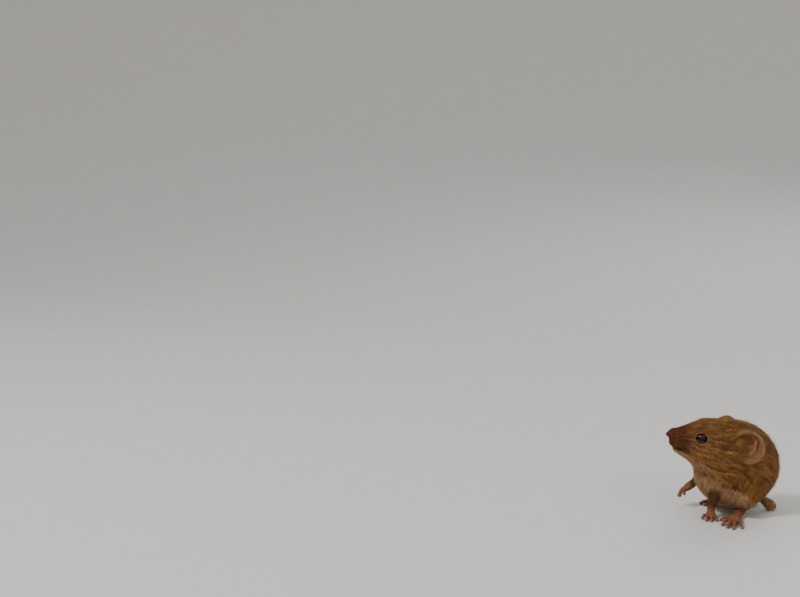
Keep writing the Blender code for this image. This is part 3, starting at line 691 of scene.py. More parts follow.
SKIN_LOW = np.array((-15.0, -14.0, -0.5))
SKIN_HIGH = np.array((14.0, 30.0, 25.0))
LENGTH_STEP = 0.8


def length_grid():
    """Fur length at the corners of a coarse grid round the animal."""
    axes = [np.arange(SKIN_LOW[axis] - 1.0, SKIN_HIGH[axis] + 2.0, LENGTH_STEP) for axis in range(3)]
    grid = np.stack(np.meshgrid(*axes, indexing="ij"), axis=-1)
    return blended_length(grid.reshape(-1, 3)).reshape(grid.shape[:3])


LENGTH_GRID = length_grid()


def fur_length(points):
    """Fur length at any place, read between the corners of the grid."""
    where = (points - (SKIN_LOW - 1.0)) / LENGTH_STEP
    where = np.clip(where, 0.0, np.array(LENGTH_GRID.shape) - 1.001)
    corner = where.astype(int)
    share = where - corner
    total = np.zeros(len(points))
    for step in np.ndindex(2, 2, 2):
        weight = np.where(np.array(step) == 1, share, 1.0 - share).prod(axis=1)
        i, j, k = (corner + step).T
        total += weight * LENGTH_GRID[i, j, k]
    return total


# Routes of a brush over the coat; each one goes from place to place
MIDDLE_ROUTES = (
    ((on_head, (8.0, 0.0, 0.8)), (on_head, (3.0, 0.0, 2.7))),
    ((on_head, (3.0, 0.0, 2.6)), (on_head, (-4.0, 0.0, 4.6)), (on_body, (7.5, 0.0, 21.8)),
     (on_body, (0.5, 0.0, 20.4)), (on_body, (-4.6, 0.0, 15.5)), (on_body, (-6.0, 0.0, 9.0)),
     (in_room, (8.0, 9.6, 3.8))),
    ((on_head, (6.5, 0.0, -2.2)), (on_head, (1.0, 0.0, -6.2)), (on_body, (14.5, 0.0, 9.5)),
     (on_body, (12.0, 0.0, 4.5)), (on_body, (5.0, 0.0, 1.0))),
)
HEAD_ROUTES = (
    ((6.5, 1.4, -0.6), (2.6, 3.0, -1.8), (-3.5, 5.6, -3.4)),
    ((2.6, 2.6, 1.8), (-3.2, 5.0, 1.9), (-9.0, 5.6, 2.5)),
    ((-3.5, 5.6, -3.4), (-9.5, 6.0, -6.6)),
)
FLANK_ROUTE = ((11.0, 5.4, 13.0), (5.5, 7.2, 13.0), (-0.5, 6.9, 9.0), (-3.0, 4.0, 4.0))
HAUNCH_ROUTE = ((3.0, 7.4, 10.0), (6.3, 7.9, 5.6))
SOLE_STROKE_HEIGHT, SHIN_STROKE_END = 1.4, 2.4
# Heights on the ear at which the brush crosses it, and the tail's places from stroke to stroke
EAR_STROKES = (-2.0, 0.0, 2.0)
TAIL_STROKE = 4


def side_routes(side):
    """Routes of one side, over head, flank, haunch, foreleg, foot and ear."""
    routes = [[on_head(*mirrored(place, side)) for place in route] for route in HEAD_ROUTES]
    routes.append([on_body(*mirrored(place, side)) for place in FLANK_ROUTE])
    haunch = [on_body(*mirrored(place, side)) for place in HAUNCH_ROUTE]
    routes.append(haunch + [(*HEELS[side], SHIN_STROKE_END)])
    routes.append([*FORELEGS[side], PAWS[side][0]])
    heel, axes = foot_frame(side)
    heel = heel + (0.0, 0.0, SOLE_STROKE_HEIGHT)
    routes.append([heel, heel + axes[0] * SOLE_LENGTH])
    centre, axes = ear_frame(side)
    for height in EAR_STROKES:
        across = ((0.0, -3.0, height), (0.0, 3.2, height * 1.25 + 0.4))
        routes.append([centre + np.array(place) @ axes for place in across])
    return routes


def all_strokes():
    """Straight strokes of the brush, each a start and an end."""
    routes = [[place_on(*place) for place_on, place in route] for route in MIDDLE_ROUTES]
    for side in SIDES.values():
        routes += side_routes(side)
    routes.append(TAIL_PLACES[TAIL_STROKE:TAIL_COUNT:TAIL_STROKE])
    strokes = [stroke for route in routes for stroke in pairwise(route)]
    return [(np.array(start, float), np.array(end, float)) for start, end in strokes]


STROKES = all_strokes()
LIE_SOFTNESS = 0.25


def lie_of_coat(points):
    """Which way the fur lies: the way of the nearest strokes."""
    total = np.zeros((len(points), 3))
    for start, end in STROKES:
        away = rod(points, start, end, 0.0, 0.0)
        run = (end - start) / np.linalg.norm(end - start)
        total += run / (away * away + LIE_SOFTNESS)[:, None] ** 1.5
    return total / np.linalg.norm(total, axis=1)[:, None]


# The whole skin


FACE_REACH = 10.0


def skin_field(points):
    """The whole animal under its coat."""
    field = coated_field(points) + DEPTH_SHARE * fur_length(points)
    near_head = np.flatnonzero(np.linalg.norm(points - np.array(HEAD_ORIGIN), axis=1) < FACE_REACH)
    if len(near_head):
        field[near_head] = face_details(head_local(points[near_head]), field[near_head])
    for side in SIDES.values():
        field = carve(field, ear_hollow(points, side), FINE)
    field = melt(field, ears_field(points), TIGHT)
    field = melt(field, feet_field(points), TIGHT)
    field = melt(field, tail_near(points)[0], TAIL_FILLET)
    return np.maximum(field, -points[:, 2])


def slope_of(field, points, probe=0.02):
    """Direction in which a field grows fastest, not normalised."""
    slope = np.empty_like(points)
    for axis in range(3):
        shift = np.zeros(3)
        shift[axis] = probe
        slope[:, axis] = (field(points + shift) - field(points - shift)) / (2.0 * probe)
    return slope


def unit(vectors):
    """Rows of vectors, each made 1 long."""
    return vectors / np.maximum(np.linalg.norm(vectors, axis=1), 1e-9)[:, None]


def settle(field, vertices, rounds=2, longest=0.12):
    """Moves vertices along the field's slope until they lie on its surface."""
    for _ in range(rounds):
        value = field(vertices)
        slope = slope_of(field, vertices, 0.01)
        size = np.maximum((slope * slope).sum(axis=1), 0.05)
        move = -slope * (value / size)[:, None]
        length = np.linalg.norm(move, axis=1)
        move *= np.minimum(1.0, longest / np.maximum(length, 1e-9))[:, None]
        vertices = vertices + move
    return vertices


def split_cells(cells, parts):
    """Numbers of the smaller cells that fill the given ones."""
    inner = np.stack(np.meshgrid(*(range(parts),) * 3, indexing="ij"), axis=-1).reshape(-1, 3)
    return (cells[:, None] * parts + inner).reshape(-1, 3)


def cells_near(field, low, cells, size, slack):
    """Those cells that the surface may run through."""
    centres = low + (cells + 0.5) * size
    return cells[np.abs(field(centres)) < size * math.sqrt(3.0) / 2.0 + slack]


def polygonise(field, low, high, cell):
    """Quads over a field's surface: a vertex in each crossed cell, a quad round each crossed edge."""
    low = np.array(low, float)
    coarse, middle = 4, 2
    size = cell * coarse * middle
    counts = np.ceil((np.array(high) - low) / size).astype(int)
    cells = np.stack(np.meshgrid(*(range(count) for count in counts), indexing="ij"), axis=-1).reshape(-1, 3)
    cells = cells_near(field, low, cells, size, 0.5)
    cells = cells_near(field, low, split_cells(cells, coarse), cell * middle, 0.25)
    cells = split_cells(cells, middle)
    span = counts * coarse * middle + 3
    strides = np.array((span[1] * span[2], span[2], 1))
    base = cells @ strides
    corners = np.stack(np.meshgrid(*(range(2),) * 3, indexing="ij"), axis=-1).reshape(-1, 3)
    corner_keys = base[:, None] + corners @ strides
    keys, places = np.unique(corner_keys, return_inverse=True)
    places = places.reshape(corner_keys.shape)
    index = np.stack((keys // strides[0], keys % strides[0] // strides[1], keys % strides[1]), axis=1)
    values = field(low + index * cell)
    inside = values < 0.0
    crossed = inside[places].any(axis=1) & ~inside[places].all(axis=1)
    cells, base, places = cells[crossed], base[crossed], places[crossed]
    order = np.argsort(base)
    cells, base, places = cells[order], base[order], places[order]
    total = np.zeros((len(cells), 3))
    hits = np.zeros(len(cells))
    faces = []
    for axis in range(3):
        step = 4 >> axis
        for corner in range(8):
            if corner & step:
                continue
            first, second = values[places[:, corner]], values[places[:, corner + step]]
            cut = (first < 0.0) != (second < 0.0)
            share = np.where(cut, first / np.where(cut, first - second, 1.0), 0.0)
            place = corners[corner] + np.eye(3)[axis] * share[:, None]
            total += place * cut[:, None]
            hits += cut
            if corner == 0:
                across, over = strides[(axis + 1) % 3], strides[(axis + 2) % 3]
                ring = base[cut, None] - np.array((0, across, across + over, over))
                found = np.minimum(np.searchsorted(base, ring), len(base) - 1)
                whole = (base[found] == ring).all(axis=1)
                flip = first[cut] >= 0.0
                found[flip] = found[flip][:, ::-1]
                faces.append(found[whole])
    vertices = low + (cells + total / hits[:, None]) * cell
    return settle(field, vertices), np.concatenate(faces)


# Colours


def blend_colour(under, over, share):
    """Mixes rows of colour: share 0 keeps under, 1 gives over."""
    return under + (np.asarray(over) - under) * share[:, None]


# The pale strip of the throat faces this way
THROAT_FACING = (-0.96, 0.1, -0.27)
# Ends of the crease where the long fur of the neck ends above the belly (its sideways place is 0), and how dark the
# shade painted along it is
CREASE = ((0.0, 0.0, 8.7), (4.8, 0.0, 8.0))
CREASE_SHADOW = 0.55
# The jaw's lower edge, above which the head is brown: its slope and its height between the eyes
JAW_SLOPE, JAW_HEIGHT = 0.55, 5.3
# The edge between the brown side and the pale belly: its height under the hips and its slope
SIDE_HEIGHT, SIDE_SLOPE = 4.6, 0.41
# A golden glow on each cheek: its middle, radii and strength
CHEEK_GLOW, CHEEK_GLOW_RADII, CHEEK_GLOW_SHARE = (-3.0, 0.0, -2.6), (3.2, 40.0, 1.7), 0.1


def coat_colour(points, normals):
    """Markings of the coat at places with the given outward directions, with shade painted along the mouth, into the
    forelegs' brown and in the crease under the neck.
    """
    colour = np.tile(np.array(BACK), (len(points), 1))
    head = head_local(points)
    body = body_local(points)
    on_skull = ramp(head[:, 0], -10.0, -6.5)
    on_face = on_skull * ramp(head[:, 2], -8.0, -6.2)
    upward = normals[:, 2]
    colour = blend_colour(colour, FLANK, ramp(upward, 0.55, -0.15))
    throat = unit(np.array((THROAT_FACING,)))[0]
    throat_pale = ramp(normals @ throat, 0.85, 0.95)
    belly_pale = ramp(body[:, 2] - SIDE_HEIGHT - SIDE_SLOPE * body[:, 0], 0.8, -0.5)
    belly_pale = belly_pale * ramp(body[:, 0], 3.6, 5.8)
    low_pale = ramp(body[:, 2], 4.5, 1.5) * ramp(upward, 0.2, -0.3)
    trunk_pale = np.maximum(np.maximum(throat_pale, belly_pale), low_pale)
    jaw_line = head[:, 2] - JAW_SLOPE * head[:, 0] + JAW_HEIGHT
    head_pale = ramp(jaw_line, 0.25, -0.5) * ramp(upward, 0.4, -0.2)
    pale = trunk_pale + (head_pale - trunk_pale) * on_face
    colour = blend_colour(colour, BUFF, pale)
    # The forelegs' brown, partly their own colour and partly painted shade.
    for side in SIDES.values():
        arm = rod(points, FORELEGS[side][1], FORELEGS[side][2], 0.0, 0.0)
        colour = blend_colour(colour, LEG_BROWN_AND_SHADE, 0.9 * ramp(arm, 1.75, 1.3))
    cheek = np.exp(-(((head - CHEEK_GLOW) / CHEEK_GLOW_RADII) ** 2).sum(axis=1))
    colour = blend_colour(colour, np.array(GOLD) * 0.9, CHEEK_GLOW_SHARE * cheek * (1.0 - pale) * on_face)
    snout = ramp(head[:, 0], 0.8, 4.2) * ramp(jaw_line, -0.5, 0.3)
    colour = blend_colour(colour, MUZZLE, snout * 0.95)
    # Painted shade along the line where the lips meet.
    for side in SIDES.values():
        colour = blend_colour(colour, DARK, 0.8 * ramp(lip_field(head, side), 0.75, 0.35))
    # Painted shade: the coat darkens along the crease under the neck, on the left side only.
    crease = rod(points * (1.0, 0.0, 1.0), *CREASE, 0.0, 0.0)
    shadow = ramp(crease, 0.9, 0.2) * (points[:, 1] < 4.0)
    return colour * (1.0 - CREASE_SHADOW * shadow)[:, None]


# Meshes


def place_origin():
    """How far the animal's own frame lies from the solids' frame, read from the left eye."""
    low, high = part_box("eye_left")
    centre = (np.array(low) + np.array(high)) / 2.0 / MM
    return centre - on_head(*eye_place(LEFT))


ORIGIN = place_origin()


def mesh_object(name, vertices, faces, material):
    """A smooth mesh object from rows of vertices (mm) and rows of faces that all have as many corners."""
    mesh = bpy.data.meshes.new(name)
    vertices = (np.asarray(vertices) + ORIGIN) * MM
    faces = np.asarray(faces, dtype=np.int32)
    mesh.vertices.add(len(vertices))
    mesh.vertices.foreach_set("co", vertices.astype(np.float32).ravel())
    mesh.loops.add(faces.size)
    mesh.loops.foreach_set("vertex_index", faces.ravel())
    mesh.polygons.add(len(faces))
    starts = np.arange(0, faces.size, faces.shape[1], dtype=np.int32)
    mesh.polygons.foreach_set("loop_start", starts)
    mesh.update(calc_edges=True)
    mesh.validate()
    mesh.shade_smooth()
    mesh.materials.append(material)
    piece = bpy.data.objects.new(name, mesh)
    bpy.context.scene.collection.objects.link(piece)
    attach(piece, "root")
    return piece


def paint(piece, name, colours):
    """Stores a colour for each vertex."""
    layer = piece.data.color_attributes.new(name, "FLOAT_COLOR", "POINT")
    rows = np.ones((len(colours), 4), dtype=np.float32)
    rows[:, :3] = colours
    layer.data.foreach_set("color", rows.ravel())


def mark(piece, name, values):
    """Stores a number for each vertex."""
    layer = piece.data.attributes.new(name, "FLOAT", "POINT")
    layer.data.foreach_set("value", np.asarray(values, dtype=np.float32))


# Materials


def new_material(name, values):
    """A material whose shader has the given values, by the names of its sockets."""
    material = bpy.data.materials.new(name)
    material.use_nodes = True
    nodes, links = material.node_tree.nodes, material.node_tree.links
    shader = nodes["Principled BSDF"]
    for socket, value in values.items():
        shader.inputs[socket].default_value = value
    return material, nodes, links, shader


def noise_node(nodes, links, scale, detail):
    """Noise over the object's own coordinates; scale is in patches to the metre."""
    where = nodes.new("ShaderNodeTexCoord")
    texture = nodes.new("ShaderNodeTexNoise")
    texture.inputs["Scale"].default_value = scale
    texture.inputs["Detail"].default_value = detail
    links.new(where.outputs["Object"], texture.inputs["Vector"])
    return texture.outputs["Fac"]


def attribute(nodes, name, output):
    """What a mesh stores under a name, as a colour or a number."""
    node = nodes.new("ShaderNodeAttribute")
    node.attribute_name = name
    return node.outputs[output]


def shaded(nodes, links, colour, factor, low, high, least=0.0):
    """Multiplies a colour by a grey that runs from low to high as factor runs from least to 1."""
    span = nodes.new("ShaderNodeMapRange")
    span.inputs["From Min"].default_value = least
    span.inputs["To Min"].default_value = low
    span.inputs["To Max"].default_value = high
    links.new(factor, span.inputs["Value"])
    scale = nodes.new("ShaderNodeVectorMath")
    scale.operation = "SCALE"
    links.new(colour, scale.inputs[0])
    links.new(span.outputs["Result"], scale.inputs["Scale"])
    return scale.outputs["Vector"]


def bump(nodes, links, height, distance, strength):
    """Relief of the given height (m) at a strength."""
    node = nodes.new("ShaderNodeBump")
    node.inputs["Distance"].default_value = distance
    node.inputs["Strength"].default_value = strength
    links.new(height, node.inputs["Height"])
    return node


def coat_material():
    """Fur: its colour is stored in each tuft; patches a few millimetres wide run lighter and darker."""
    material, nodes, links, shader = new_material("fur", {
        "Roughness": 0.62, "Specular IOR Level": 0.18,
        "Sheen Weight": 0.1, "Sheen Roughness": 0.4, "Sheen Tint": (1.0, 0.72, 0.42, 1.0),
    })
    tint = attribute(nodes, "tint", "Color")
    patches = noise_node(nodes, links, 420.0, 3.0)
    links.new(shaded(nodes, links, tint, patches, 0.78, 1.22), shader.inputs["Base Color"])
    return material


def skin_material():
    """Skin: furred parts carry the coat's markings, bare parts are pink, wrinkled and a little moist."""
    material, nodes, links, shader = new_material("skin", {
        "Roughness": 0.52, "Specular IOR Level": 0.2, "Specular Tint": (1.0, 0.66, 0.46, 1.0),
        "Subsurface Weight": 0.12, "Subsurface Radius": (0.0006, 0.0003, 0.0002), "Subsurface Scale": 1.0,
    })
    tint = attribute(nodes, "tint", "Color")
    patches = noise_node(nodes, links, 900.0, 4.0)
    mottled = shaded(nodes, links, tint, patches, 0.75, 1.25)
    rings = nodes.new("ShaderNodeMath")
    rings.operation = "SINE"
    links.new(attribute(nodes, "rings", "Fac"), rings.inputs[0])
    banded = shaded(nodes, links, mottled, rings.outputs["Value"], 0.82, 1.18, -1.0)
    links.new(banded, shader.inputs["Base Color"])
    grain = bump(nodes, links, noise_node(nodes, links, 5200.0, 4.0), 0.00007, 0.8)
    scales = bump(nodes, links, rings.outputs["Value"], 0.00005, 0.5)
    links.new(grain.outputs["Normal"], scales.inputs["Normal"])
    links.new(scales.outputs["Normal"], shader.inputs["Normal"])
    return material


def eye_material():
    """Nearly black, wet and glossy, with brown clouds."""
    material, nodes, links, shader = new_material("eye", {"Roughness": 0.06, "Specular IOR Level": 0.19})
    cloud = noise_node(nodes, links, 1500.0, 2.0)
    base = nodes.new("ShaderNodeMix")
    base.data_type = "RGBA"
    base.inputs["A"].default_value = (*EYE_BLACK, 1.0)
    base.inputs["B"].default_value = (*EYE_BROWN, 1.0)
    links.new(cloud, base.inputs["Factor"])
    links.new(base.outputs["Result"], shader.inputs["Base Color"])
    return material


def claw_material():
    """Horn, a little cloudy."""
    material, nodes, links, shader = new_material("horn", {"Roughness": 0.3})
    base = nodes.new("ShaderNodeRGB")
    base.outputs[0].default_value = (*HORN, 1.0)
    grain = noise_node(nodes, links, 3000.0, 3.0)
    links.new(shaded(nodes, links, base.outputs[0], grain, 0.6, 1.3), shader.inputs["Base Color"])
    return material


def whisker_material():
    """Whiskers: dark at the root and paler towards the tip."""
    material, nodes, links, shader = new_material("whiskers", {"Roughness": 0.35})
    links.new(attribute(nodes, "tint", "Color"), shader.inputs["Base Color"])
    return material


# Skin


# Shares of the coat's colour that the skin under it has, and of the ear's pink where shade is painted deep inside
# the cup
UNDER_COAT = 0.62
EAR_CUP_SHADE = (0.8, 0.68, 0.62)


def near_eye(local, side):
    """Which places on the head lie close enough to an eye to be lid."""
    return np.linalg.norm(local - eye_place(side), axis=1) < EYE_RADIUS + 0.7


def skin_colours(points, normals):
    """Colour of the skin: dark under the coat, bare on nose, lids, ears, feet and tail, with shade painted in the
    nostrils, along the mouth and deep in the ears.
    """
    colour = coat_colour(points, normals) * UNDER_COAT
    local = head_local(points)
    colour = blend_colour(colour, NOSE_PINK, ramp(nose_field(local), 0.3, 0.08))
    # Painted shade inside the nostrils and along the line where the lips meet.
    for side in SIDES.values():
        colour = blend_colour(colour, RECESS_SHADE, ramp(nostril_field(local, side), 0.1, 0.0))
        colour = blend_colour(colour, RECESS_SHADE, ramp(lip_field(local, side), 0.5, 0.3))
    for side in SIDES.values():
        rim = ramp(lid_opening(local, side), 0.34, 0.14)
        colour = blend_colour(colour, LID_GREY, rim * near_eye(local, side))
    colour = blend_colour(colour, EAR_PINK, ramp(ears_field(points), 0.3, 0.05))
    # Painted shade deep inside each ear's cup.
    for side in SIDES.values():
        deep = ramp(ear_bowl(points, side), -0.2, -0.5) * ramp(past_opening(points, side), -0.9, -2.3)
        colour = blend_colour(colour, np.array(EAR_PINK) * EAR_CUP_SHADE, deep * 0.6)
    colour = blend_colour(colour, PINK, ramp(feet_field(points), 0.3, 0.02))
    below = ramp(normals[:, 2], 0.1, -0.6)
    tail_colour = blend_colour(np.tile(np.array(TAIL_BROWN), (len(points), 1)), TAIL_PALE, below)
    return blend_colour(colour, tail_colour, ramp(tail_near(points)[0], 0.3, 0.05))


TAIL_RING_PITCH = 0.5
TOE_RING_PITCH = 0.4
# How far forward on a hind foot and on a forepaw the creases of the toes begin
TOES_FROM = {foot_frame: 8.8, paw_frame: 1.3}
# How near to a foot, an ear or the tail a place counts as being on it, for its colour and for its hairs,
# and how far from a foot the coat begins to thin out
ON_PART = 0.15
FINE_HAIRED = 0.12
NEAR_FOOT = 0.3


def ring_phase(points):
    """Phase of the rings of scales along the tail and of the creases across the toes."""
    tail, travelled = tail_near(points)
    phase = np.where(tail < 0.2, travelled * 2.0 * math.pi / TAIL_RING_PITCH, 0.0)
    for side in SIDES.values():
        for frame_of, field in ((foot_frame, hind_foot_field), (paw_frame, forepaw_field)):
            centre, axes = frame_of(side)
            forward = (points - centre) @ axes[0]
            low, high = centre - HIND_REACH, centre + HIND_REACH
            here = nearby(points, low, high, lambda near: field(near, side)) < ON_PART
            creased = here & (forward > TOES_FROM[frame_of])
            phase = np.where(creased, forward * 2.0 * math.pi / TOE_RING_PITCH, phase)
    return phase


def make_skin(material):
    """One mesh over the whole animal; gives its corners and faces for the coat to grow on."""
    vertices, faces = polygonise(skin_field, SKIN_LOW, SKIN_HIGH, CELL)
    vertices[:, 2] = np.maximum(vertices[:, 2], 0.0)
    normals = unit(slope_of(skin_field, vertices))
    skin = mesh_object("skin", vertices, faces, material)
    paint(skin, "tint", skin_colours(vertices, normals))
    mark(skin, "rings", ring_phase(vertices))
    covered = [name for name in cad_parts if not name.startswith("eye_")]
    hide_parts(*covered)
    return vertices, faces


# Fur

# A tuft's width: at length 0, what each mm of length adds, and the length at which it stops widening
TUFT_BASE = 0.048
TUFT_SPREAD = 0.026
LONGEST_THAT_WIDENS = 1.7
# How many tufts cover each place, and the most that grow on a square mm
COAT_LAYERS = 3.4
DENSEST = 170.0
TRIANGLES_EACH = 10
MOST_TRIANGLES = 190000
# How far tips stand off the skin, as a share of their length, and how many tufts are long guard hairs
LIFT = 0.22
GUARD_SHARE = 0.07
EAR_HAIR = (0.50, 0.305, 0.12)
FOOT_HAIR = (0.27, 0.135, 0.062)
# Lengths of the sparse hairs outside and inside the ears, on feet and on the tail
EAR_LENGTH, CUP_LENGTH, FOOT_LENGTH, TAIL_HAIR = 0.75, 0.95, 0.32, 0.42


def tuft_width(length):
    """Width of tufts of the given lengths."""
    return TUFT_BASE + TUFT_SPREAD * np.minimum(length, LONGEST_THAT_WIDENS)


def scatter(vertices, faces, draw):
    """Random places on the skin, thicker where the tufts are smaller."""
    triangles = np.concatenate((faces[:, (0, 1, 2)], faces[:, (0, 2, 3)]))
    a, b, c = (vertices[triangles[:, corner]] for corner in range(3))
    centre = (a + b + c) / 3.0
    area = np.linalg.norm(np.cross(b - a, c - a), axis=1) / 2.0
    length = coat_length(centre)
    wanted = np.minimum(COAT_LAYERS / (0.5 * tuft_width(length) * length), DENSEST)
    share = area * wanted * coat_thickness(centre) * COAT_SHARE
    count = int(share.sum())
    chosen = draw.choice(len(triangles), size=count, p=share / share.sum())
    first, second = draw.random(count), draw.random(count)
    over = first + second > 1.0
    first[over], second[over] = 1.0 - first[over], 1.0 - second[over]
    a, b, c = a[chosen], b[chosen], c[chosen]
    return a + first[:, None] * (b - a) + second[:, None] * (c - a)


def ear_parts(points):
    """Two rows of true and false: which places are on an ear, and which of those are inside its cup."""
    on_ear = ears_field(points) < FINE_HAIRED
    inside = np.zeros(len(points), dtype=bool)
    for side in SIDES.values():
        inside |= ear_bowl(points, side) < -0.75 * EAR_SHEET
    return on_ear, on_ear & inside


def coat_length(points):
    """Length of the hairs anywhere on the skin, the sparse ones of ears, feet and tail too."""
    length = fur_length(points)
    on_ear, in_cup = ear_parts(points)
    length = np.where(on_ear, EAR_LENGTH, length)
    length = np.where(in_cup, CUP_LENGTH, length)
    feet = feet_field(points)
    near_foot = FOOT_LENGTH + (length - FOOT_LENGTH) * ramp(feet, 0.02, NEAR_FOOT)
    length = np.where(feet < NEAR_FOOT, near_foot, length)
    return np.where(tail_near(points)[0] < FINE_HAIRED, TAIL_HAIR, length)


def coat_thickness(points):
    """How thickly the coat grows: 1 over the body, less on ears, feet and tail, 0 on bare skin."""
    thickness = np.ones(len(points))
    local = head_local(points)
    on_ear, in_cup = ear_parts(points)
    thickness = np.where(on_ear, 0.75, thickness)
    thickness = np.where(in_cup, 0.42, thickness)
    for side in SIDES.values():
        at_rim = np.abs(past_opening(points, side)) < 0.4
        thickness = np.where(on_ear & at_rim, 1.0, thickness)
    feet = feet_field(points)
    sparse = 0.3 * ramp(points[:, 2], 0.45, 0.8)
    near_foot = sparse + (thickness - sparse) * ramp(feet, 0.02, NEAR_FOOT)
    thickness = np.where(feet < NEAR_FOOT, near_foot, thickness)
    thickness = np.where(tail_near(points)[0] < FINE_HAIRED, 0.09, thickness)
    thickness *= ramp(nose_field(local), 0.02, 0.1)
    for side in SIDES.values():
        thickness *= ramp(lip_field(local, side), 0.15, 0.28)
        on_lid = near_eye(local, side) & (lid_opening(local, side) < 0.14)
        thickness = np.where(on_lid, 0.0, thickness)
    return np.where(points[:, 2] < 0.08, 0.0, thickness)


# Streaks in the coat: how wide (mm), how far each runs along the lie, and how many steps that takes
STREAK_WIDTH = 0.42
STREAK_REACH = 1.9
STREAK_STEPS = 7
STREAK_TABLE = 32


def streaks(points, lie):
    """A number for each place, about 0 on average, that runs in streaks along the lie of the coat."""
    table = np.random.default_rng(SEED + 2).normal(0.0, 1.0, (STREAK_TABLE,) * 3)
    total = np.zeros(len(points))
    for step in np.linspace(-STREAK_REACH, STREAK_REACH, STREAK_STEPS):
        where = (points + lie * step) / STREAK_WIDTH
        corner = np.floor(where).astype(int)
        share = where - corner
        for offset in np.ndindex(2, 2, 2):
            weight = np.where(np.array(offset) == 1, share, 1.0 - share).prod(axis=1)
            i, j, k = ((corner + offset) % STREAK_TABLE).T
            total += weight * table[i, j, k]
    return total / total.std()


# How far along its length a tuft bends, how high it stands there, and how far the tip may be moved
BEND_AT, BEND_HEIGHT, TIP_AT, TIP_HEIGHT = 0.45, 0.62, 0.58, 0.38
LONGEST_MOVE = 0.8


def held_at(places, height):
    """Places moved along the skin's slope to a height over it, and the slope there."""
    value = skin_field(places)
    slope = unit(slope_of(skin_field, places))
    return places + slope * np.clip(height - value, -LONGEST_MOVE, LONGEST_MOVE)[:, None], slope


def tuft_spines(roots, normals, lie, length, lift):
    """Two places along each tuft, bend and tip, held over the skin at the coat's height."""
    height = lift * length
    bend = roots + lie * (BEND_AT * length)[:, None] + normals * (BEND_HEIGHT * height)[:, None]
    bend, slope = held_at(bend, BEND_HEIGHT * height)
    onward = lie - slope * (lie * slope).sum(axis=1)[:, None]
    tip = bend + unit(onward) * (TIP_AT * length)[:, None] + slope * (TIP_HEIGHT * height)[:, None]
    return bend, held_at(tip, height)[0]


LEADER_SHARE = 0.035


def gather(points, tips, reach, pull, draw):
    """Draws the tips of neighbouring tufts towards a leader's; gives them and each tuft's leader."""
    leaders = draw.random(len(points)) < LEADER_SHARE
    tree = kdtree.KDTree(int(leaders.sum()))
    for number in np.flatnonzero(leaders):
        tree.insert(points[number], int(number))
    tree.balance()
    nearest = np.array([tree.find(point)[1] for point in points])
    shift = (tips[nearest] - points[nearest]) - (tips - points)
    toward = points[nearest] - points
    away = np.linalg.norm(toward, axis=1)
    share = pull * ramp(away, reach, reach * 0.3)
    return tips + (toward * 0.55 + shift * 0.35) * share[:, None], nearest


# How deep a tuft is rooted, and its width at the root and its thickness as shares of its width
ROOT_DEPTH, ROOT_WIDTH, THICKNESS = 0.06, 0.62, 0.7
TUFT_FACES = np.array((
    (0, 2, 1), (0, 1, 4), (0, 4, 3), (1, 2, 5), (1, 5, 4), (2, 0, 3), (2, 3, 5),
    (3, 4, 6), (4, 5, 6), (5, 3, 6),
))
TUFT_CORNERS = 7
# How dark or light each corner of a tuft is, from the root to the tip
TUFT_SHADES = np.array((0.42, 0.42, 0.42, 0.95, 0.95, 1.0, 1.12))


def tuft_mesh(roots, bend, tip, normals, width):
    """Closed three-sided blades: a section at the root, a wider one at the bend, and the tip."""
    run = unit(bend - roots)
    across = unit(np.cross(normals, run))
    over = np.cross(run, across)
    sink = roots - normals * ROOT_DEPTH
    run_out = unit(tip - bend)
    across_out = unit(np.cross(over, run_out))
    over_out = np.cross(run_out, across_out)
    rows = []
    for centre, side, ridge, size in ((sink, across, over, ROOT_WIDTH), (bend, across_out, over_out, 1.0)):
        half = (width * size / 2.0)[:, None]
        rows += [centre - side * half, centre + side * half, centre + ridge * half * THICKNESS]
    rows.append(tip)
    vertices = np.stack(rows, axis=1).reshape(-1, 3)
    faces = (np.arange(len(roots))[:, None, None] * TUFT_CORNERS + TUFT_FACES).reshape(-1, 3)
    return vertices, faces


CHART_MARGIN = 0.02


def unwrap(roots, normals):
    """Where each root lies on an unwrap of the skin: six charts, one for each way it may face."""
    facing = np.argmax(np.abs(normals), axis=1)
    chart = facing * 2 + (normals[np.arange(len(normals)), facing] > 0.0)
    low, high = roots.min(axis=0), roots.max(axis=0)
    span = (high - low).max()
    local = (roots - low) / span
    across = local[np.arange(len(roots)), (facing + 1) % 3]
    along = local[np.arange(len(roots)), (facing + 2) % 3]
    column, row = chart % 3, chart // 3
    u = (column + CHART_MARGIN + across * (1.0 - 2.0 * CHART_MARGIN)) / 3.0
    v = (row + CHART_MARGIN + along * (1.0 - 2.0 * CHART_MARGIN)) / 2.0
    return np.stack((u, v), axis=1)


# Size of a tuft's patch on the map, and its corners in it
PATCH = 0.003
PATCH_CORNERS = np.array((
    (-0.3, -0.5), (0.3, -0.5), (0.0, -0.42), (-0.5, 0.0), (0.5, 0.0), (0.0, 0.08), (0.0, 0.5),
))


def add_bake_map(piece, faces, centres):
    """The map OFBake: each tuft is a small patch at its root's place."""
    spots = centres[:, None] + PATCH_CORNERS * PATCH
    spots = spots.reshape(-1, 2)
    layer = piece.data.uv_layers.new(name="OFBake")
    layer.data.foreach_set("uv", spots[faces.ravel()].astype(np.float32).ravel())


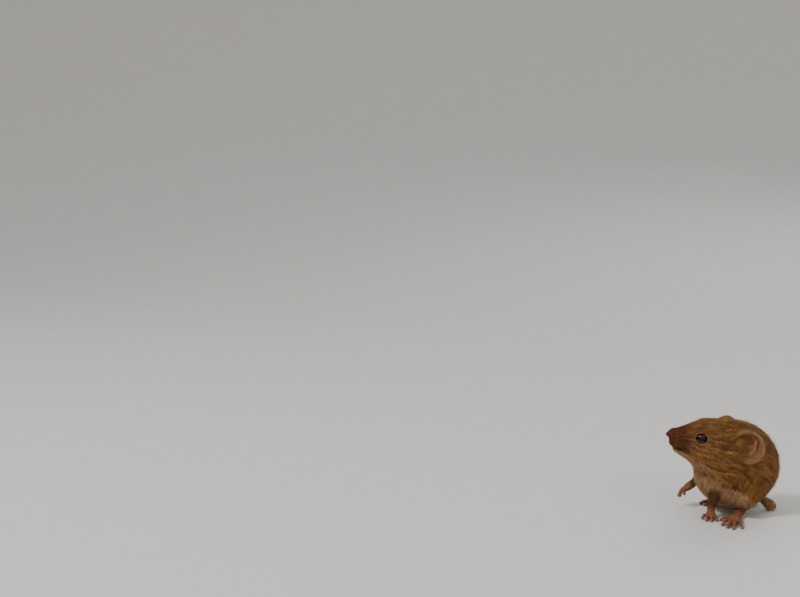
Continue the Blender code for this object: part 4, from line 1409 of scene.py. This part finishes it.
def coat_regions(points):
    """Which piece of the coat each place belongs to."""
    head = head_local(points)
    body = body_local(points)
    names = np.full(len(points), "coat_back", dtype=object)
    names[body[:, 1] > 3.2] = "coat_flank_left"
    names[body[:, 1] < -3.2] = "coat_flank_right"
    names[(body[:, 2] < 8.5) & (body[:, 0] > 2.0)] = "coat_belly"
    neck_line = -6.4 - 0.35 * np.minimum(head[:, 0] + 2.0, 0.0)
    on_head_now = (head[:, 0] > -8.0) & (head[:, 2] > neck_line)
    names[on_head_now & (head[:, 1] > 0.0)] = "coat_head_left"
    names[on_head_now & (head[:, 1] <= 0.0)] = "coat_head_right"
    names[on_head_now & (head[:, 0] > 2.0)] = "coat_muzzle"
    names[ears_field(points) < ON_PART] = "coat_ears"
    names[(feet_field(points) < ON_PART) | (tail_near(points)[0] < ON_PART)] = "coat_feet_and_tail"
    return names


def coat_pieces(points):
    """The coat in pieces, each small enough: a name and the numbers of its tufts."""
    regions = coat_regions(points)
    for name in sorted(set(regions)):
        chosen = np.flatnonzero(regions == name)
        chosen = chosen[np.argsort(points[chosen, 2])]
        parts = math.ceil(len(chosen) * TRIANGLES_EACH / MOST_TRIANGLES)
        if parts == 1:
            yield name, chosen
            continue
        for number, part in enumerate(np.array_split(chosen, parts), 1):
            yield f"{name}_{number}", part


def tuft_tints(roots, normals, streak, lock, draw):
    """Colour of each tuft: the markings with their painted shade, in dark and golden streaks, with single tufts and
    locks apart.
    """
    count = len(roots)
    tint = coat_colour(roots, normals)
    on_ear, in_cup = ear_parts(roots)
    tint[on_ear] = np.array(FLANK) * 1.1
    tint[in_cup] = EAR_HAIR
    tint[in_cup & (draw.random(count) < 0.4)] = np.array(GOLD)
    for side in SIDES.values():
        at_rim = np.abs(past_opening(roots, side)) < 0.3
        tint[on_ear & at_rim] = np.array(EAR_HAIR) * 0.68
    tint[tail_near(roots)[0] < ON_PART] = np.array(TAIL_BROWN) * 1.2
    feet = ramp(feet_field(roots), 0.3, 0.05)
    tint = blend_colour(tint, FOOT_HAIR, feet)
    pale = ramp(tint[:, 2], 0.05, 0.10)
    arm = np.minimum(foreleg_field(roots, LEFT), foreleg_field(roots, RIGHT))
    on_arm = ramp(arm, 0.6, 0.2) * ramp(roots[:, 2], 8.5, 6.5)
    plain = (1.0 - ramp(head_local(roots)[:, 0], 1.0, 4.0)) * (1.0 - 0.85 * on_arm)
    golden = ramp(streak, 0.2, 1.8) * (0.62 - 0.3 * pale) * plain
    dark = ramp(streak, -0.2, -1.8) * (0.57 - 0.4 * pale) * (0.4 + 0.6 * plain)
    kind = draw.random(count)
    golden = np.maximum(golden, (kind > 0.88) * 0.5 * plain)
    dark = np.maximum(dark, (kind < 0.10) * (0.5 - 0.3 * pale))
    tint = blend_colour(tint, np.maximum(np.array(GOLD), tint * 1.15), golden)
    tint = blend_colour(tint, DARK, dark)
    # The hairs of the forelegs get their brown with its painted shade too.
    tint = blend_colour(tint, LEG_BROWN_AND_SHADE, 0.5 * on_arm)
    tint = tint * draw.uniform(0.85, 1.17, count)[:, None]
    return tint * draw.uniform(0.8, 1.22, count)[lock][:, None]


# Waves in which the lie of the coat wanders: their direction with their number to the mm, and their phase
WAVES = (((2.1, 0.7, -1.3), 0.3), ((-0.9, 2.3, 1.1), 1.9), ((1.2, -1.4, 2.2), 4.0))
WANDER, DISORDER = 0.14, 0.1
# Guard hairs: how much longer, higher and narrower they are, and the shortest fur that has them
GUARD_LENGTH, GUARD_LIFT, GUARD_WIDTH, SHORTEST_GUARDED = 1.35, 0.16, 0.7, 0.8
# How narrow the fine hairs of ears, feet and tail are, as a share of the others
FINE_WIDTH = 0.62
# How far from its leader a tuft is still drawn to it, and how strongly, in the coat and among fine hairs
LOCK_REACH, LOCK_PULL, FINE_LOCK_PULL = 0.7, 0.75, 0.2
LOWEST_HAIR = 0.01


def make_coat(vertices, faces, material):
    """All tufts of fur, piece by piece."""
    draw = np.random.default_rng(SEED)
    roots = scatter(vertices, faces, draw)
    normals = unit(slope_of(skin_field, roots))
    count = len(roots)
    length = coat_length(roots) * draw.uniform(0.75, 1.2, count)
    brushed = lie_of_coat(roots)
    streak = streaks(roots, brushed)
    wander = np.stack([np.sin(roots @ np.array(wave) + phase) for wave, phase in WAVES], axis=1)
    lie = brushed + WANDER * wander + draw.normal(0.0, DISORDER, (count, 3))
    lie = unit(lie - normals * (lie * normals).sum(axis=1)[:, None])
    lift = LIFT * draw.uniform(0.55, 1.35, count) * (1.0 + 0.25 * np.clip(streak, -1.5, 1.5))
    guard = (draw.random(count) < GUARD_SHARE) & (length > SHORTEST_GUARDED)
    length = np.where(guard, length * GUARD_LENGTH, length)
    lift = np.where(guard, lift + GUARD_LIFT, lift)
    bend, tip = tuft_spines(roots, normals, lie, length, lift)
    fine = np.minimum(ears_field(roots), np.minimum(feet_field(roots), tail_near(roots)[0])) < FINE_HAIRED
    tip, lock = gather(roots, tip, LOCK_REACH, np.where(fine, FINE_LOCK_PULL, LOCK_PULL), draw)
    width = tuft_width(length) * draw.uniform(0.8, 1.2, count) * np.where(guard, GUARD_WIDTH, 1.0)
    width = np.where(fine, width * FINE_WIDTH, width)
    tint = tuft_tints(roots, normals, streak, lock, draw)
    for name, chosen in coat_pieces(roots):
        places, blades = tuft_mesh(roots[chosen], bend[chosen], tip[chosen], normals[chosen], width[chosen])
        places[:, 2] = np.maximum(places[:, 2], LOWEST_HAIR)
        piece = mesh_object(name, places, blades, material)
        paint(piece, "tint", (tint[chosen][:, None] * TUFT_SHADES[None, :, None]).reshape(-1, 3))
        add_bake_map(piece, blades, unwrap(roots[chosen], normals[chosen]))


# Eyes, claws and whiskers

EYE_RINGS, EYE_SEGMENTS = 40, 64
# The cornea's bulge: its height as a share of the radius, and its width as an angle
CORNEA, CORNEA_WIDTH = 0.03, 0.6


def make_eyes(material):
    """Two eyeballs, each with a slightly bulging cornea."""
    turn = np.linspace(0.0, 2.0 * math.pi, EYE_SEGMENTS, endpoint=False)
    faces = []
    for base in range(0, EYE_RINGS * EYE_SEGMENTS, EYE_SEGMENTS):
        onward = base + EYE_SEGMENTS
        for step in range(EYE_SEGMENTS):
            other = (step + 1) % EYE_SEGMENTS
            faces.append((base + step, base + other, onward + other, onward + step))
    faces = np.array(faces)
    for word, side in SIDES.items():
        outward, along, up = eye_axes(side) @ HEAD_AXES
        centre = on_head(*eye_place(side))
        rows = []
        for angle in np.linspace(0.0, math.pi, EYE_RINGS + 1):
            bulge = 1.0 + CORNEA * math.exp(-(angle / CORNEA_WIDTH) ** 2)
            ring = (np.cos(turn)[:, None] * along + np.sin(turn)[:, None] * up) * math.sin(angle)
            rows.append(centre + EYE_RADIUS * bulge * (ring + outward * math.cos(angle)))
        turned = faces if side > 0.0 else faces[:, ::-1]
        eye = mesh_object("eyeball_" + word, np.concatenate(rows), turned, material)
        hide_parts("eye_" + word)


def sweep(places, radii, sides, squash=1.0):
    """Closed tapered tube through places; squash flattens it."""
    places = np.asarray(places, float)
    vertices, faces = [], []
    for index, place in enumerate(places):
        ahead = places[min(index + 1, len(places) - 1)] - places[max(index - 1, 0)]
        ahead /= np.linalg.norm(ahead)
        across = np.cross((0.0, 0.0, 1.0), ahead)
        if np.linalg.norm(across) < 1e-3:
            across = np.array((1.0, 0.0, 0.0))
        across /= np.linalg.norm(across)
        over = np.cross(ahead, across)
        for step in range(sides):
            angle = 2.0 * math.pi * step / sides
            spoke = math.cos(angle) * across * squash + math.sin(angle) * over
            vertices.append(place + radii[index] * spoke)
    for ring in range(len(places) - 1):
        for step in range(sides):
            other = (step + 1) % sides
            base = ring * sides
            faces.append((base + step, base + other, base + sides + other))
            faces.append((base + step, base + sides + other, base + sides + step))
    last = (len(places) - 1) * sides
    for step in range(1, sides - 1):
        faces.append((0, step + 1, step))
        faces.append((last, last + step, last + step + 1))
    return np.array(vertices), np.array(faces)


def join(parts):
    """One set of vertices and faces from several."""
    vertices, faces, used = [], [], 0
    for places, polygons in parts:
        vertices.append(places)
        faces.append(polygons + used)
        used += len(places)
    return np.concatenate(vertices), np.concatenate(faces)


CLAWED = (("hind_claws", foot_frame, hind_toes), ("fore_claws", paw_frame, fingers))
# Steps along each claw, sides round it and how much it is flattened
CLAW_STEPS, CLAW_SIDES, CLAW_SQUASH = 8, 8, 0.8
# How high a claw arches, its radii at root and point, and how evenly it tapers
CLAW_ARCH, CLAW_RADIUS, CLAW_POINT, CLAW_TAPER = 0.22, 0.16, 0.015, 0.7


def make_claws(material):
    """The claws of each foot as one piece, each claw a curved and pointed horn."""
    for word, side in SIDES.items():
        for name, frame_of, digits in CLAWED:
            centre, axes = frame_of(side)
            parts = []
            for _, _, tip, thickness, claw_tip in digits():
                start = tip + np.array((thickness * 0.2, 0.0, thickness * 0.5))
                ahead = claw_tip - start
                places, radii = [], []
                for share in np.linspace(0.0, 1.0, CLAW_STEPS):
                    arch = np.array((0.0, 0.0, CLAW_ARCH * math.sin(math.pi * share)))
                    places.append(centre + (start + ahead * share + arch) @ axes)
                    radii.append(CLAW_RADIUS * (1.0 - share) ** CLAW_TAPER + CLAW_POINT)
                parts.append(sweep(places, radii, CLAW_SIDES, CLAW_SQUASH))
            vertices, faces = join(parts)
            vertices[:, 2] = np.maximum(vertices[:, 2], 0.0)
            piece = mesh_object(f"{name}_{word}", vertices, faces, material)


# Whiskers stand in rows and columns; steps along each and sides round it; radii at root and tip
WHISKER_ROWS, WHISKER_COLUMNS = 5, 4
WHISKER_STEPS, WHISKER_SIDES = 12, 5
WHISKER_RADII = (0.03, 0.006)
# How much each whisker strays, how deep it is rooted and how low it may hang
WHISKER_STRAY = 0.06
WHISKER_SINK = 0.25
LOWEST_WHISKER = 0.02


def make_whiskers(material):
    """Rows of long, fine whiskers on each pad."""
    draw = np.random.default_rng(SEED + 1)
    parts, shares = [], []
    steps = np.linspace(0.0, 1.0, WHISKER_STEPS)
    for side in SIDES.values():
        for row in range(WHISKER_ROWS):
            for column in range(WHISKER_COLUMNS):
                start = np.array((5.5 - 0.62 * column, 0.0, 0.3 - 0.42 * row + 0.06 * column))
                width = 1.2 + 0.42 * column
                guess = on_head(start[0], width * side, start[2])[None]
                root = settle(skin_field, guess, 8, 0.4)[0]
                length = 2.6 + 2.1 * column + draw.uniform(-0.6, 0.6)
                way = np.array((0.1 - 0.25 * column, side, 0.4 - 0.2 * row))
                way += draw.normal(0.0, WHISKER_STRAY, 3)
                way /= np.linalg.norm(way)
                back = np.array((-0.5, 0.0, -0.12 - 0.1 * column))
                places = []
                for share in steps:
                    reach = way * share + back * share * share * 0.55
                    sink = WHISKER_SINK * way * (share == 0.0)
                    places.append(root + (length * reach - sink) @ HEAD_AXES)
                parts.append(sweep(places, np.linspace(*WHISKER_RADII, WHISKER_STEPS), WHISKER_SIDES))
                shares.append(np.repeat(steps, WHISKER_SIDES))
    vertices, faces = join(parts)
    vertices[:, 2] = np.maximum(vertices[:, 2], LOWEST_WHISKER)
    whiskers = mesh_object("whiskers", vertices, faces, material)
    share = np.concatenate(shares)
    dark = np.tile(np.array(DARK), (len(share), 1))
    paint(whiskers, "tint", blend_colour(dark, BUFF, ramp(share, 0.1, 1.0)))


# Room, camera and light

IMAGE_WIDTH = 800.0
IMAGE_HEIGHT = 597.0
LENS_MM = 50.0
SENSOR_MM = 36.0
FOCAL = IMAGE_WIDTH * LENS_MM / SENSOR_MM
# The animal's own zero point in the picture (pixels), the camera's height over it and distance from it
ANCHOR = (722.0, 515.7)
ELEVATION = 16.0
DISTANCE = 0.2767


def make_camera():
    """A camera that sees the animal at its place in the picture, from the picture's angle."""
    u = (ANCHOR[0] - IMAGE_WIDTH / 2.0) / FOCAL
    v = -(ANCHOR[1] - IMAGE_HEIGHT / 2.0) / FOCAL
    size = math.sqrt(1.0 + u * u + v * v)
    alpha = math.atan2(-v / size, 1.0 / size)
    reach = math.hypot(v / size, 1.0 / size)
    pitch = math.asin(math.sin(math.radians(ELEVATION)) / reach) - alpha
    base = Matrix.Rotation(math.pi / 2.0 - pitch, 3, "X")
    ray = base @ Vector((u, v, -1.0)).normalized()
    full = Matrix.Rotation(math.atan2(ray.x, ray.y), 3, "Z") @ base
    ray = full @ Vector((u, v, -1.0)).normalized()
    data = bpy.data.cameras.new("camera")
    data.lens = LENS_MM
    data.sensor_width = SENSOR_MM
    data.clip_start = 0.001
    camera = bpy.data.objects.new("camera", data)
    target = Vector(ORIGIN * MM)
    camera.matrix_world = Matrix.Translation(target - ray * DISTANCE) @ full.to_4x4()
    bpy.context.scene.collection.objects.link(camera)
    bpy.context.scene.camera = camera


# The pale floor runs back this far (m), bends up with this radius and ends at this height
FLOOR_DEPTH = 0.35
BEND_RADIUS = 1.7
ROOM_HEIGHT = 2.5
ROOM_REACH = 3.0
FLOOR_GREY = (0.62, 0.60, 0.57, 1.0)


def make_floor():
    """A pale floor that bends up behind into a backdrop without an edge."""
    material, nodes, links, shader = new_material("floor", {"Roughness": 0.7})
    base = nodes.new("ShaderNodeRGB")
    base.outputs[0].default_value = FLOOR_GREY
    grain = noise_node(nodes, links, 60.0, 2.0)
    links.new(shaded(nodes, links, base.outputs[0], grain, 0.98, 1.02), shader.inputs["Base Color"])
    profile = [(-ROOM_REACH, 0.0)]
    for angle in np.linspace(0.0, math.pi / 2.0, 33):
        profile.append((FLOOR_DEPTH + BEND_RADIUS * math.sin(angle), BEND_RADIUS * (1.0 - math.cos(angle))))
    profile.append((FLOOR_DEPTH + BEND_RADIUS, ROOM_HEIGHT))
    vertices = [(x, y, z) for y, z in profile for x in (-ROOM_REACH, ROOM_REACH)]
    faces = [(row, row + 1, row + 3, row + 2) for row in range(0, len(vertices) - 2, 2)]
    mesh = bpy.data.meshes.new("floor")
    mesh.from_pydata(vertices, [], faces)
    mesh.shade_smooth()
    mesh.materials.append(material)
    floor = bpy.data.objects.new("floor", mesh)
    bpy.context.scene.collection.objects.link(floor)
    floor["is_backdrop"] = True


# Each light's place and size (m) and its power (W), and the light that comes from all round
LIGHTS = {
    "key": ((-0.35, -0.38, 0.55), 0.14, 3.4),
    "fill": ((0.5, -0.45, 0.35), 0.5, 0.9),
    "back": ((0.15, 0.6, 0.5), 0.4, 1.4),
}
LIT_PLACE = (0.0, 0.0, 0.012)
ROOM_LIGHT = {"Color": (0.86, 0.85, 0.84, 1.0), "Strength": 0.75}


def make_light(name, place, size, power):
    """A soft square light that looks at the animal."""
    data = bpy.data.lights.new(name, "AREA")
    data.size = size
    data.energy = power
    light = bpy.data.objects.new(name, data)
    light.location = place
    light.rotation_mode = "QUATERNION"
    light.rotation_quaternion = (Vector(LIT_PLACE) - Vector(place)).to_track_quat("-Z", "Y")
    bpy.context.scene.collection.objects.link(light)


def make_lights():
    """Three lights and an evenly lit room."""
    for name, values in LIGHTS.items():
        make_light(name, *values)
    world = bpy.data.worlds.new("room")
    world.use_nodes = True
    for socket, value in ROOM_LIGHT.items():
        world.node_tree.nodes["Background"].inputs[socket].default_value = value
    bpy.context.scene.world = world


def main():
    vertices, faces = make_skin(skin_material())
    make_eyes(eye_material())
    make_claws(claw_material())
    make_whiskers(whisker_material())
    make_coat(vertices, faces, coat_material())
    make_floor()
    make_camera()
    make_lights()
    boxes = {name: [list(corner) for corner in box] for name, box in (("cad", CAD_BOX), ("visual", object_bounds()))}


main()
